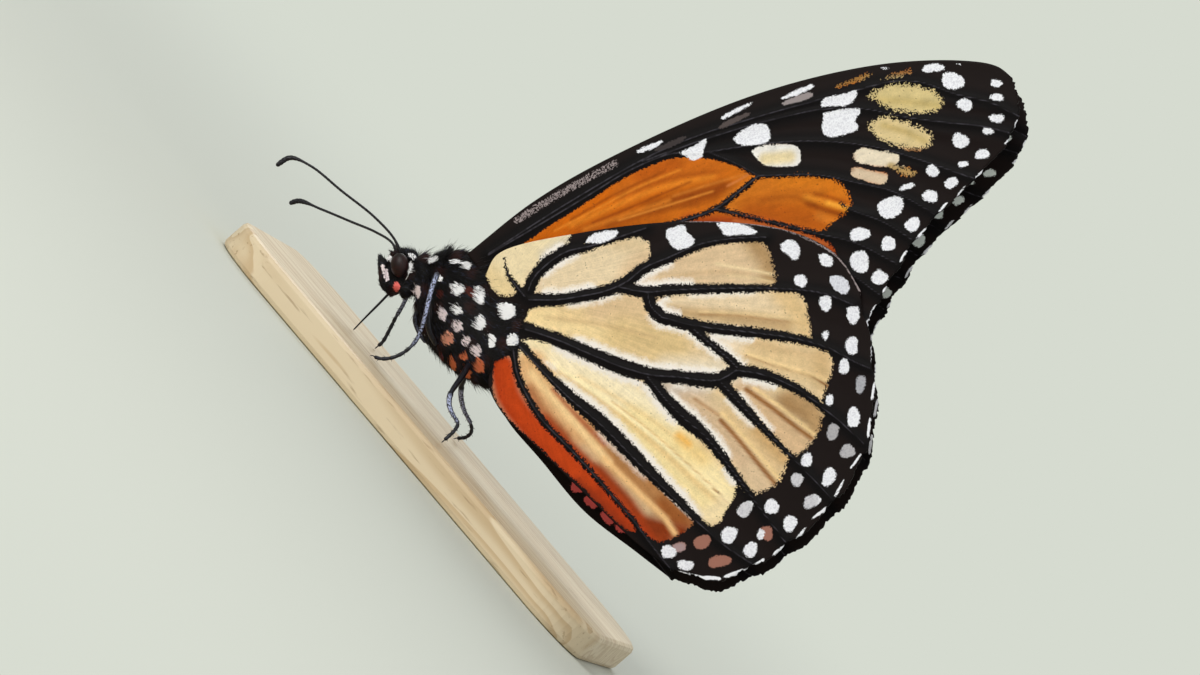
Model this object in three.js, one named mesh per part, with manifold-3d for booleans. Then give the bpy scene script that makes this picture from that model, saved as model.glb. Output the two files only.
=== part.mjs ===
// A monarch butterfly at life size, standing with its wings closed on a plain flat base.
//
// Units are millimetres. The animal is drawn side on: X runs towards the wing tips, Z runs up
// and Y runs to its right, with the middle of its body on Y = 0. PITCH then turns the whole
// animal head down until its four walking feet are level, and it is set on the base. The
// model's origin is in the middle of the base's underside.

import * as THREE from 'three';
import { mergeVertices } from 'three/addons/utils/BufferGeometryUtils.js';
import Module from 'manifold-3d';

const wasm = await Module();
wasm.setup();

// ---------------------------------------------------------------- driving dimensions

const PITCH = THREE.MathUtils.degToRad(49);     // head-down turn that levels the feet
const FOOT_LEVEL = -10.9;                       // the feet's height after that turn
const FOOT_GAP = 0.05;                          // feet to the top of the base
const JOINT_GAP = 0.12;                         // between two pieces that grow together

const BASE = { length: 50, width: 34, thickness: 3, corner: 6, bevel: 0.5 };

// root and spread set how far a wing stands off the body's middle; steps are counted along its
// costa, outer and inner edges, and along its root.
const WING = { thickness: 0.5, scallop: 0.3, heart: [20, 5] };
const FOREWING = {
  root: 1.7, spread: 0.017, scallops: 8, steps: { costa: 26, outer: 32, inner: 8, root: 3 },
};
const HINDWING = {
  root: 2.85, spread: 0.013, scallops: 8, steps: { costa: 22, outer: 32, inner: 18, root: 3 },
};

// A vein starts this wide and high at the wing's root and loses the share `taper` by its end.
const VEIN = { halfWidth: 0.525, height: 0.17, taper: 0.45, footing: 0.15, stepLength: 7 };
const RIGHT_FOREWING_DROP = THREE.MathUtils.degToRad(-1.5);
const RIGHT_HINDWING_DROP = THREE.MathUtils.degToRad(-1.8);
const RIGHT_ANAL_FLARE = 0.7;                   // the right hindwing's inner edge lies flatter
const HINGE = [1.5, 1.0];                       // the point that the wings turn about

const BODY_MIDDLE = [-2.5, -1.15];              // middle of the thorax
const BODY_SLOPE = THREE.MathUtils.degToRad(-27.6);
const EYE = { x: -7.9, z: 2.8, y: 1.3, radius: 1.35 };
const EYE_SHAPE = { across: 0.72, up: 1.08 };      // the eyes are flattened balls
const FEELER_RADIUS = 0.26;
const CLUB_RADIUS = 0.42;

const SMOOTH_SIDES = 18;
const BODY_RINGS = 10;
const EYE_DIVISIONS = [14, 9];
const FEELER = { sides: 8, steps: { palp: 8, proboscis: 10, antenna: 16 } };
const LEG = { sides: 6, steps: 18, forelegSteps: 8 };

const COLOURS = {
  scalesBlack: [0x14100f, 0.62], wing: [0xd9b27c, 0.6], wingOrange: [0xc4701a, 0.6],
  eye: [0x2a120e, 0.25], leg: [0x17151a, 0.45], base: [0xcdb592, 0.55],
};

// ---------------------------------------------------------------- small helpers

const at = (x, z, y = 0) => new THREE.Vector3(x, y, z);
const routeOf = (points) => new THREE.CatmullRomCurve3(points.map((p) => at(...p)), false, 'centripetal');

function finish([colour, roughness]) {
  return new THREE.MeshStandardMaterial({ color: colour, roughness, metalness: 0 });
}

function signedVolume(geometry) {
  const position = geometry.getAttribute('position');
  const index = geometry.getIndex().array;
  const [a, b, c] = [new THREE.Vector3(), new THREE.Vector3(), new THREE.Vector3()];
  let total = 0;
  for (let i = 0; i < index.length; i += 3) {
    a.fromBufferAttribute(position, index[i]);
    b.fromBufferAttribute(position, index[i + 1]);
    c.fromBufferAttribute(position, index[i + 2]);
    total += a.dot(b.cross(c)) / 6;
  }
  return total;
}

// One closed body: shared corners are merged and the faces are turned outwards.
function closed(geometry) {
  geometry.deleteAttribute('normal');
  geometry.deleteAttribute('uv');
  const merged = mergeVertices(geometry, 1e-4);
  if (signedVolume(merged) < 0) {
    const index = merged.getIndex();
    for (let i = 0; i < index.count; i += 3) {
      const first = index.getX(i);
      index.setX(i, index.getX(i + 1));
      index.setX(i + 1, first);
    }
  }
  return merged;
}

function toManifold(geometry) {
  return new wasm.Manifold(new wasm.Mesh({
    numProp: 3,
    vertProperties: new Float32Array(geometry.getAttribute('position').array),
    triVerts: new Uint32Array(geometry.getIndex().array),
  }));
}

function fromManifold(manifold) {
  const mesh = manifold.getMesh();
  const geometry = new THREE.BufferGeometry();
  geometry.setAttribute('position', new THREE.BufferAttribute(new Float32Array(mesh.vertProperties), 3));
  geometry.setIndex(new THREE.BufferAttribute(new Uint32Array(mesh.triVerts), 1));
  return geometry;
}

function warp(geometry, place) {
  const position = geometry.getAttribute('position');
  const corner = new THREE.Vector3();
  for (let i = 0; i < position.count; i += 1) {
    corner.fromBufferAttribute(position, i);
    const target = place(corner.x, corner.y, corner.z);
    position.setXYZ(i, target.x, target.y, target.z);
  }
  return closed(geometry);
}

// A tube of changing radius along a smooth route. Radii are spread evenly from start to end.
function tube(points, radii, sides, steps) {
  const route = routeOf(points);
  const frames = route.computeFrenetFrames(steps, false);
  const radiusAt = (t) => {
    const place = t * (radii.length - 1);
    const low = Math.min(Math.floor(place), radii.length - 2);
    return THREE.MathUtils.lerp(radii[low], radii[low + 1], place - low);
  };
  return warp(new THREE.CylinderGeometry(1, 1, 1, sides, steps), (x, y, z) => {
    const step = Math.round((y + 0.5) * steps);
    const radius = radiusAt(step / steps);
    return route.getPointAt(step / steps)
      .addScaledVector(frames.normals[step], x * radius)
      .addScaledVector(frames.binormals[step], z * radius);
  });
}

// A point of the body: s runs along its axis towards the tail, h is up its back, y is to the right.
function bodyPoint(s, h, y) {
  const [x0, z0] = BODY_MIDDLE;
  const [c, n] = [Math.cos(BODY_SLOPE), Math.sin(BODY_SLOPE)];
  return at(x0 + s * c - h * n, z0 + s * n + h * c, y);
}

// A body of oval sections, each given as [s, top, bottom, half width], joined by a smooth skin.
function bodyLoft(sections, grow = 0) {
  const stations = sections.map((section) => section[0]);
  const sizes = sections.flatMap((section) => section.slice(1));
  const profile = new THREE.CubicInterpolant(stations, sizes, 3);
  const [first, last] = [stations[0], stations[stations.length - 1]];
  return warp(new THREE.CylinderGeometry(1, 1, 1, SMOOTH_SIDES, BODY_RINGS), (x, y, z) => {
    const along = y + 0.5;
    const s = THREE.MathUtils.lerp(first, last, (1 - Math.cos(along * Math.PI)) / 2);
    const [top, bottom, halfWidth] = profile.evaluate(s);
    const reach = (top - bottom) / 2 + grow;
    const end = grow * (along < 0.001 ? -1 : along > 0.999 ? 1 : 0);
    return bodyPoint(s + end, (top + bottom) / 2 + reach * z, (halfWidth + grow) * x);
  });
}

// ---------------------------------------------------------------- head, thorax and abdomen

const THORAX_SECTIONS = [
  [-4.85, 3.9, -0.2, 1.2],
  [-4.3, 4.8, -1.3, 1.9],
  [-2.9, 5.5, -2.7, 2.55],
  [-0.9, 5.6, -4.0, 2.95],
  [1.2, 5.2, -4.7, 3.0],
  [3.2, 4.1, -5.0, 2.75],
  [5.0, 2.6, -4.6, 2.3],
  [6.1, 1.5, -3.7, 1.7],
];

const ABDOMEN_SECTIONS = [
  [6.35, 1.15, -3.1, 1.55],
  [8.2, 1.2, -3.3, 1.85],
  [11.5, 1.05, -3.1, 1.9],
  [15.5, 0.8, -2.7, 1.75],
  [19.5, 0.4, -2.2, 1.4],
  [22.4, -0.1, -1.7, 0.8],
  [23.4, -0.6, -1.2, 0.35],
];

const HEAD_SECTIONS = [
  [-8.45, 2.0, 0.1, 0.6],
  [-8.05, 2.8, -0.65, 1.25],
  [-7.2, 3.3, -1.1, 1.75],
  [-6.1, 3.3, -0.8, 1.6],
  [-5.05, 2.9, -0.1, 1.1],
];

function eyeball(side, grow = 0) {
  const ball = new THREE.SphereGeometry(EYE.radius + grow, ...EYE_DIVISIONS);
  const { across, up } = EYE_SHAPE;
  return warp(ball, (x, y, z) => at(EYE.x + x, EYE.z + z * up, side * EYE.y + y * across));
}

function head() {
  const skull = toManifold(bodyLoft(HEAD_SECTIONS));
  const sockets = [-1, 1].map((side) => toManifold(eyeball(side, JOINT_GAP)));
  return fromManifold(sockets.reduce((left, socket) => left.subtract(socket), skull));
}

// The space that the trunk and head need, so that limbs and wings meet them with no overlap.
function trunkSpace() {
  return [HEAD_SECTIONS, THORAX_SECTIONS, ABDOMEN_SECTIONS]
    .map((sections) => toManifold(bodyLoft(sections, JOINT_GAP)))
    .reduce((left, right) => left.add(right));
}

const trunk = trunkSpace();

// What stands clear of the trunk, without the crumbs that the cut leaves inside it.
function clearOfTrunk(manifold) {
  const pieces = manifold.subtract(trunk).decompose();
  return pieces.reduce((left, right) => (left.volume() > right.volume() ? left : right));
}

const besideTrunk = (geometry) => fromManifold(clearOfTrunk(toManifold(geometry)));

// ---------------------------------------------------------------- palps, proboscis and antennae

function palp(side) {
  const route = [[-8.6, 0.9, side * 0.4], [-9.3, 1.7, side * 0.6], [-9.5, 2.9, side * 0.66],
    [-9.95, 4.5, side * 0.42]];
  return besideTrunk(tube(route, [0.36, 0.56, 0.5, 0.2], FEELER.sides, FEELER.steps.palp));
}

function proboscis() {
  const route = [[-8.6, 1.2], [-9.5, 1.3], [-10.4, 0.5], [-11.4, -0.7], [-12.4, -1.75]];
  return besideTrunk(tube(route, [0.28, 0.26, 0.25, 0.25], FEELER.sides, FEELER.steps.proboscis));
}

function antenna(route) {
  const shaft = Array(8).fill(FEELER_RADIUS);
  const radii = [...shaft, CLUB_RADIUS, CLUB_RADIUS * 0.7];
  return besideTrunk(tube(route, radii, FEELER.sides, FEELER.steps.antenna));
}

const ANTENNA_ROUTES = {
  left: [[-7.95, 4.5, -0.7], [-8.5, 5.9, -1.0], [-10.3, 7.9, -1.6], [-13.2, 10.2, -2.4],
    [-16.0, 12.4, -3.0], [-17.7, 13.05, -3.2], [-18.7, 12.5, -3.3]],
  right: [[-8.4, 4.6, 0.7], [-9.1, 5.8, 1.3], [-10.8, 6.9, 2.5], [-13.5, 8.1, 4.2],
    [-16.5, 9.4, 5.6], [-18.8, 10.3, 6.5], [-19.8, 10.1, 6.8]],
};

// ---------------------------------------------------------------- legs

// Each route runs from the hip over the knee and the heel to the tip of the foot.
const LEG_ROUTES = {
  midleg_left: [[-4.5, -4.0, -1.6], [-4.4, -2.0, -3.3], [-4.0, 0.8, -3.8], [-3.8, 2.5, -3.9],
    [-4.2, 1.3, -4.15], [-5.4, -3.1, -4.5], [-6.4, -4.5, -4.7], [-7.8, -5.45, -4.9], [-9.1, -5.65, -5.0],
    [-9.8, -5.45, -5.1]],
  midleg_right: [[-4.8, -3.4, 1.5], [-5.4, -1.4, 2.9], [-6.1, 2.2, 3.7], [-6.5, 3.8, 3.9],
    [-7.3, 2.9, 4.1], [-8.7, 0.2, 4.4], [-9.5, -1.0, 4.6], [-10.3, -2.4, 4.8], [-10.9, -3.4, 4.95],
    [-11.4, -3.8, 5.1]],
  hindleg_left: [[-1.3, -5.6, -1.3], [-1.9, -7.2, -3.2], [-2.5, -8.7, -4.9], [-2.55, -9.5, -5.3],
    [-2.3, -10.5, -5.8], [-1.9, -11.8, -6.4], [-2.2, -12.5, -6.8], [-2.7, -13.1, -7.2], [-3.1, -13.5, -7.4]],
  hindleg_right: [[-1.9, -5.2, 1.3], [-2.4, -6.2, 3.0], [-3.0, -7.3, 4.6], [-3.1, -8.1, 5.0],
    [-2.9, -9.3, 5.5], [-2.5, -10.7, 6.1], [-2.6, -11.5, 6.5], [-3.2, -12.0, 6.9], [-4.1, -12.1, 7.2]],
};

const LEG_RADII = [0.36, 0.4, 0.34, 0.3, 0.28, 0.26, 0.26, 0.25, 0.25, 0.25];

function leg(route) {
  const solid = clearOfTrunk(toManifold(tube(route, LEG_RADII, LEG.sides, LEG.steps)));
  const up = [Math.sin(PITCH), 0, Math.cos(PITCH)];
  return fromManifold(solid.trimByPlane(up, FOOT_LEVEL));
}

// The two brush-like forelegs are carried folded against the chest.
function foreleg(side) {
  const route = [[-5.9, -0.1, side * 0.7], [-6.5, -1.3, side * 0.85], [-6.2, -2.6, side * 0.9],
    [-5.5, -3.7, side * 0.95]];
  return besideTrunk(tube(route, [0.3, 0.34, 0.3, 0.26], LEG.sides, LEG.forelegSteps));
}

// ---------------------------------------------------------------- wings

// A wing's outline: four smooth edges that meet at its corners, each listed as [x, z] points.
const FOREWING_EDGES = {
  costa: [[-1.6, 4.4], [4.6, 9.25], [12.2, 13.5], [24.9, 18.85], [36, 21.45], [43.8, 21.75], [48.3, 20.15]],
  outer: [[48.3, 20.15], [49.1, 18.3], [48.5, 15.2], [45, 10.9], [40.4, 6.3], [37.2, 1.3], [35, -2.9]],
  inner: [[2.4, 0.7], [12, -0.3], [24, -1.9], [35, -2.9]],
  root: [[-1.6, 4.4], [0.2, 2.2], [2.4, 0.7]],
};

const HINDWING_EDGES = {
  costa: [[0.25, 2.4], [1.4, 4.3], [8.9, 6.2], [19.8, 7.2], [28.3, 6.2], [32.4, 4.1], [34.5, 1.1]],
  outer: [[34.5, 1.1], [35.45, -3], [35.85, -8], [35.1, -13.6], [32.2, -18.4], [26.6, -23.3],
    [21.5, -25.6], [17.6, -24.5]],
  inner: [[1.1, -5.4], [0.65, -7.6], [1.9, -10.2], [5.6, -13.8], [10, -18.0], [14.4, -22.1], [17.6, -24.5]],
  root: [[0.25, 2.4], [0.9, -1.5], [1.1, -5.4]],
};

const FOREWING_VEINS = [
  [[0.4, 4.4], [8, 9.2], [17, 14.1], [27, 17.3], [36, 19.6]],
  [[0.6, 3.9], [8, 8.4], [14, 12.1], [20.5, 13.2], [25.2, 11.3]],
  [[14.5, 12.6], [23, 15.6], [33, 17.3], [41.5, 16.9], [48.5, 15.6]],
  [[20.5, 13.2], [29, 14.6], [37, 14.0], [43, 12.4], [46.4, 12.3]],
  [[25.2, 11.3], [32, 11.6], [38, 10.3], [42.4, 9.1]],
  [[25.2, 11.3], [21.2, 8.3], [14, 6.3], [5, 4.2], [1.4, 2.8]],
  [[21.2, 8.3], [27, 8.2], [33, 7.7], [38.8, 5.9]],
  [[14, 6.3], [22, 5.7], [30, 4.6], [37.4, 2.6]],
  [[1.6, 2.4], [12, 2.4], [24, 1.1], [35.5, -1.2]],
];

const HINDWING_VEINS = [
  [[3.9, 0.6], [4.7, 2.4], [6.6, 4.2], [10, 5.4], [15, 6.5]],
  [[3.9, 0.3], [8, 0], [12.5, 1.3], [17, 3.6], [22, 5.4], [27, 5.6]],
  [[12.5, 1.3], [16, 0.8], [25, 1.1], [31.5, 0.6], [34.3, -0.6]],
  [[14.6, 0.9], [15.6, -1], [20, -2.4], [29, -3.6], [35.1, -6.1]],
  [[19.5, -2.4], [21.6, -4.6], [23.4, -6.4], [29, -7.8], [34.8, -12.8]],
  [[3.6, -2.6], [10, -4.9], [16, -6.8], [23.4, -6.4]],
  [[22, -7.1], [26, -11.6], [32, -18]],
  [[15.4, -6.8], [20.6, -12.1], [24, -16.6], [27.9, -21.7]],
  [[3.5, -4.1], [8, -8.8], [14, -14.3], [20, -20.2], [24.4, -23.9]],
  [[2.9, -4.6], [4.3, -9], [10, -15.6], [17.3, -24.1]],
];

// The flare pushes the right hindwing's inner edge outwards, most of all half way along it.
function flared(edges, flare) {
  const count = edges.inner.length - 1;
  const inner = edges.inner.map(([x, z], i) => {
    const push = flare * Math.sin(Math.PI * (i / count) ** 1.6);
    return [x - 0.67 * push, z - 0.74 * push];
  });
  return { ...edges, inner };
}

// The wing's outline, run once round from edge to edge, with the outer edge scalloped between veins.
function wingShape(edges, { steps, scallops }) {
  const run = (points, count) => routeOf(points).getSpacedPoints(count).slice(0, -1);
  const back = (points) => [...points].reverse();
  const heart = at(...WING.heart);
  const scalloped = run(edges.outer, steps.outer).map((point, i) => {
    const wave = Math.sin((Math.PI * scallops * i) / steps.outer) ** 2;
    return point.addScaledVector(heart.clone().sub(point).normalize(), WING.scallop * wave);
  });
  const rim = [...run(edges.costa, steps.costa), ...scalloped,
    ...run(back(edges.inner), steps.inner), ...run(back(edges.root), steps.root)];
  return new THREE.Shape(rim.map((point) => new THREE.Vector2(point.x, point.z)));
}

// How far a wing's middle surface stands from the body's middle plane at a point of the wing.
function wingOffset(shape, x, z) {
  return shape.root + shape.spread * Math.hypot(x - HINGE[0], z - HINGE[1]);
}

// A vein: a low roof along the flat wing's outer face, y = thickness / 2, rooted in the wing.
function vein(points) {
  const route = routeOf(points);
  const steps = Math.max(2, Math.round(route.getLength() / VEIN.stepLength));
  return warp(new THREE.CylinderGeometry(1, 1, 1, 3, steps), (x, y, z) => {
    const t = y + 0.5;
    const along = route.getTangentAt(t);
    const narrowing = 1 - VEIN.taper * t;
    const across = new THREE.Vector3(-along.z, 0, along.x).multiplyScalar(x * VEIN.halfWidth * narrowing);
    const point = route.getPointAt(t).add(across);
    const onRidge = z > 0.9;
    point.y = onRidge ? WING.thickness / 2 + VEIN.height * narrowing : VEIN.footing;
    return point;
  });
}

// A flat blade with its veins, then bent to its place beside the body and turned about the hinge.
function wing(edges, veins, shape, side, drop) {
  const depth = WING.thickness;
  const plate = new THREE.ExtrudeGeometry(wingShape(edges, shape), { depth, bevelEnabled: false });
  const blade = warp(plate, (x, y, z) => at(x, y, z - depth / 2));
  const flat = veins.reduce((left, points) => left.add(toManifold(vein(points))), toManifold(blade));
  const bent = warp(fromManifold(flat), (x, y, z) => at(x, z, side * (y + wingOffset(shape, x, z))));
  const [x, z] = HINGE;
  return besideTrunk(bent.translate(-x, 0, -z).rotateY(-drop).translate(x, 0, z));
}

// ---------------------------------------------------------------- the base

function standBase() {
  const { length, width, thickness, corner, bevel } = BASE;
  const [x, y, r] = [length / 2 - bevel, width / 2 - bevel, corner];
  const outline = new THREE.Shape();
  outline.absarc(x - r, y - r, r, 0, Math.PI / 2);
  outline.absarc(-x + r, y - r, r, Math.PI / 2, Math.PI);
  outline.absarc(-x + r, -y + r, r, Math.PI, 1.5 * Math.PI);
  outline.absarc(x - r, -y + r, r, 1.5 * Math.PI, 2 * Math.PI);
  const plate = new THREE.ExtrudeGeometry(outline, {
    depth: thickness - 2 * bevel, bevelThickness: bevel, bevelSize: bevel, bevelSegments: 2, curveSegments: 6,
  });
  return closed(plate.translate(0, 0, bevel));
}

// ---------------------------------------------------------------- putting it together

const model = new THREE.Group();
const butterfly = new THREE.Group();

function place(group, name, geometry, colour) {
  const mesh = new THREE.Mesh(geometry, finish(colour));
  mesh.name = name;
  group.add(mesh);
}

place(model, 'stand_base', standBase(), COLOURS.base);
place(butterfly, 'head', head(), COLOURS.scalesBlack);
place(butterfly, 'thorax', bodyLoft(THORAX_SECTIONS), COLOURS.scalesBlack);
place(butterfly, 'abdomen', bodyLoft(ABDOMEN_SECTIONS), COLOURS.scalesBlack);
place(butterfly, 'proboscis', proboscis(), COLOURS.leg);

for (const [name, side] of [['left', -1], ['right', 1]]) {
  const isRight = side > 0;
  place(butterfly, `eye_${name}`, eyeball(side), COLOURS.eye);
  place(butterfly, `palp_${name}`, palp(side), COLOURS.scalesBlack);
  place(butterfly, `antenna_${name}`, antenna(ANTENNA_ROUTES[name]), COLOURS.leg);
  place(butterfly, `foreleg_${name}`, foreleg(side), COLOURS.leg);
  const hindEdges = flared(HINDWING_EDGES, isRight ? RIGHT_ANAL_FLARE : 0);
  place(butterfly, `forewing_${name}`, wing(FOREWING_EDGES, FOREWING_VEINS, FOREWING, side,
    isRight ? RIGHT_FOREWING_DROP : 0), COLOURS.wingOrange);
  place(butterfly, `hindwing_${name}`, wing(hindEdges, HINDWING_VEINS, HINDWING, side,
    isRight ? RIGHT_HINDWING_DROP : 0), COLOURS.wing);
}

for (const [name, route] of Object.entries(LEG_ROUTES)) {
  place(butterfly, name, leg(route), COLOURS.leg);
}

butterfly.rotation.y = -PITCH;
butterfly.position.z = BASE.thickness + FOOT_GAP - FOOT_LEVEL;
const reach = new THREE.Box3().setFromObject(butterfly, true);
butterfly.position.x = -(reach.min.x + reach.max.x) / 2;
model.add(butterfly);

export default model;
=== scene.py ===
# %% [markdown]
# # A monarch butterfly, built as a still model
#
# The real animal is a monarch at rest, with its wings closed over its back. It is thin sheets
# carried by a furry body the size of a bean, so most of the work goes into the wings' markings
# and the coat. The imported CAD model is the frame: it gives every piece its place, and each piece
# made here stays close to the solid that it stands for.

# %% Load the frame and keep its box
import math

import bpy
import numpy as np
from mathutils import Matrix, Vector


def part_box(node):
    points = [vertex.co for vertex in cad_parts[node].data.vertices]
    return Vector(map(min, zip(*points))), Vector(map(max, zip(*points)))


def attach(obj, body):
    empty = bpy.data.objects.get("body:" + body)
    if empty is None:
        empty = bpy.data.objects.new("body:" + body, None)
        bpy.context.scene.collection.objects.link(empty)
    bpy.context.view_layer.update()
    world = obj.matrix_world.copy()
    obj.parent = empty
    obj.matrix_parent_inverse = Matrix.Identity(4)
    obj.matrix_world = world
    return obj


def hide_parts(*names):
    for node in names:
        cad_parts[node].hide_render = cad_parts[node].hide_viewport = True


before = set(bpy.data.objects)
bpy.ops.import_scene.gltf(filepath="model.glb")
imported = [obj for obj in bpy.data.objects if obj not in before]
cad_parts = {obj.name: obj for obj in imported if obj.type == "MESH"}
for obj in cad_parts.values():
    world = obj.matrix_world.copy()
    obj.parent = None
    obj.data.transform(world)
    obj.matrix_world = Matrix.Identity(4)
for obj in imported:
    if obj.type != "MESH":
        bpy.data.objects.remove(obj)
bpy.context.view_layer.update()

BODY = "root"
MM = 0.001

# %% [markdown]
# A butterfly is easiest to draw side on: x runs towards the wing tips, z runs up and y runs to
# its right, all in millimetres. The model on its base is that drawing turned head down by PITCH.
# The turn is known, and the middle of an eye gives the shift, so any drawn point can be placed.

# %% The side-on drawing and its place in the world
PITCH = math.radians(49)
EYE_DRAWN = np.array([-7.9, 0.0, 2.8])
TURN = np.array([
    [math.cos(PITCH), 0, -math.sin(PITCH)],
    [0, 1, 0],
    [math.sin(PITCH), 0, math.cos(PITCH)],
])


def middle_of(node):
    low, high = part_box(node)
    return np.array((low + high) / 2)


SHIFT = middle_of("eye_left") / MM - TURN @ EYE_DRAWN
SHIFT[1] = 0.0


def to_world(points):
    """Drawn points [x, y, z] in millimetres, as places in the world in metres."""
    return (np.asarray(points, float) @ TURN.T + SHIFT) * MM


def to_drawing(points):
    return (np.asarray(points, float) / MM - SHIFT) @ TURN


FLOOR_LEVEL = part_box("stand_base")[0].z
print("drawing's origin in mm:", SHIFT.round(3))

# %% [markdown]
# The camera sees the left wings almost square on, from a long way off, which keeps the shape of
# the wings true. It is rolled by the same angle as the drawing, so that the butterfly hangs level
# in the picture and the base tilts.

# %% Camera
AIM = to_world([10.9, -3.0, -3.4])
AZIMUTH = math.radians(9)
ELEVATION = math.radians(2.5)
DISTANCE = 0.606
LENS, SENSOR = 200, 36
NEAREST_SEEN = 0.05


def select_only(*things):
    bpy.ops.object.select_all(action="DESELECT")
    for thing in things:
        thing.select_set(True)
    if things:
        bpy.context.view_layer.objects.active = things[0]


forward = Vector((
    -math.sin(AZIMUTH) * math.cos(ELEVATION),
    math.cos(AZIMUTH) * math.cos(ELEVATION),
    -math.sin(ELEVATION),
))
level_right = Vector((math.cos(AZIMUTH), math.sin(AZIMUTH), 0))
level_up = level_right.cross(forward)
picture_right = level_right * math.cos(PITCH) + level_up * math.sin(PITCH)
picture_up = level_up * math.cos(PITCH) - level_right * math.sin(PITCH)

select_only()
bpy.ops.object.camera_add()
camera = bpy.context.object
camera.name = "camera"
camera.matrix_world = Matrix.Translation(Vector(AIM) - forward * DISTANCE) @ Matrix(
    (picture_right, picture_up, -forward)).transposed().to_4x4()
camera.data.lens = LENS
camera.data.sensor_width = SENSOR
camera.data.clip_start = NEAREST_SEEN
bpy.context.scene.camera = camera
print("camera height in mm:", round(camera.matrix_world.translation.z / MM, 1))

# %% [markdown]
# Soft light from large lamps keeps the colours as they are mixed. The key lamp stands high on the
# camera's side, a fill comes from low on the other, and a rim lamp behind draws the fur's edge.

# %% Lamps
LAMP_DISTANCE = 0.5


def lamp(name, towards, power, size, colour=(1, 1, 1)):
    bpy.ops.object.light_add(type="AREA")
    made = bpy.context.object
    made.name = name
    direction = Vector(towards).normalized()
    made.location = Vector(AIM) + direction * LAMP_DISTANCE
    made.rotation_euler = direction.to_track_quat("Z", "Y").to_euler()
    made.data.energy = power
    made.data.size = size
    made.data.color = colour


key = picture_up * 0.75 - forward * 0.8 - picture_right * 0.12
fill = -forward * 0.9 + picture_right * 0.7 + level_up * 0.25
rim = forward * 0.75 + level_up * 0.9 - picture_right * 0.2
lamp("key_lamp", key, 1.5, 0.22, (1.0, 0.985, 0.96))
lamp("fill_lamp", fill, 0.4, 0.5)
lamp("rim_lamp", rim, 0.9, 0.3, (0.97, 0.985, 1.0))

scene = bpy.context.scene
scene.view_settings.view_transform = "Standard"

# %% [markdown]
# Materials are node trees. A few helpers keep them short to write: they add a node with its
# settings and inputs, do sums, turn a value into a soft mask between two limits, mix two colours
# and give a surface its shine and its bump.

# %% Helpers for node trees
def srgb(red, green, blue):
    """A colour as it looks on a screen, 0 to 255, as the linear values that Blender works in."""
    shares = np.array([red, green, blue]) / 255
    linear = np.where(shares <= 0.04045, shares / 12.92, ((shares + 0.055) / 1.055) ** 2.4)
    return (*linear, 1.0)


def add_node(tree, kind, inputs=None, **settings):
    made = tree.nodes.new(kind)
    for name, value in settings.items():
        setattr(made, name, value)
    for name, value in (inputs or {}).items():
        if isinstance(value, bpy.types.NodeSocket):
            tree.links.new(value, made.inputs[name])
        else:
            made.inputs[name].default_value = value
    return made


def computed(tree, operation, *values):
    return add_node(tree, "ShaderNodeMath", dict(enumerate(values)), operation=operation).outputs[0]


def product(tree, first, second):
    return computed(tree, "MULTIPLY", first, second)


def scaled_sum(tree, first, factor, last):
    """first times factor, plus last."""
    return computed(tree, "MULTIPLY_ADD", first, factor, last)


def soft_step(tree, value, low, high):
    """0 below low, 1 above high and smooth between. With low above high it falls."""
    limits = {"Value": value, "From Min": low, "From Max": high}
    return add_node(tree, "ShaderNodeMapRange", limits, interpolation_type="SMOOTHSTEP").outputs[0]


def mixed(tree, share, first, second, blend="MIX"):
    made = add_node(tree, "ShaderNodeMix", data_type="RGBA", blend_type=blend)
    for socket, value in ((0, share), (6, first), (7, second)):
        if isinstance(value, bpy.types.NodeSocket):
            tree.links.new(value, made.inputs[socket])
        else:
            made.inputs[socket].default_value = value
    return made.outputs[2]


def attribute(tree, name, output="Fac"):
    return add_node(tree, "ShaderNodeAttribute", attribute_name=name).outputs[output]


# %% Helpers for materials and groups
def new_material(name):
    made = bpy.data.materials.new(name)
    made.use_nodes = True
    shader = made.node_tree.nodes["Principled BSDF"]
    return made, made.node_tree, shader


def new_group(name, inputs, outputs):
    group = bpy.data.node_groups.new(name, "ShaderNodeTree")
    for socket, kind, value in inputs:
        made = group.interface.new_socket(socket, in_out="INPUT", socket_type=kind)
        made.default_value = value
    for socket, kind in outputs:
        group.interface.new_socket(socket, in_out="OUTPUT", socket_type=kind)
    return group, group.nodes.new("NodeGroupInput").outputs, group.nodes.new("NodeGroupOutput")


def set_surface(shader, roughness, specular):
    shader.inputs["Roughness"].default_value = roughness
    shader.inputs["Specular IOR Level"].default_value = specular


def add_bump(tree, shader, height, strength, depth, invert=False):
    """Bump from a height, with its depth in metres."""
    bump = add_node(tree, "ShaderNodeBump", {"Strength": strength, "Distance": depth, "Height": height},
                    invert=invert)
    tree.links.new(bump.outputs[0], shader.inputs["Normal"])


# %% [markdown]
# The floor is a large pale sheet. Near the model it is a real surface that holds the shadow. Far
# away it fades, for the camera only, into the colour of the sky, so that no horizon shows.

# %% Floor and backdrop
BACKDROP = srgb(214, 219, 208)
FLOOR_COLOUR = srgb(206, 210, 200)
FLOOR_RADIUS = 6
FADE_FROM, FADE_TO = 0.05, 0.4
SKY_STRENGTH = 0.42

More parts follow.
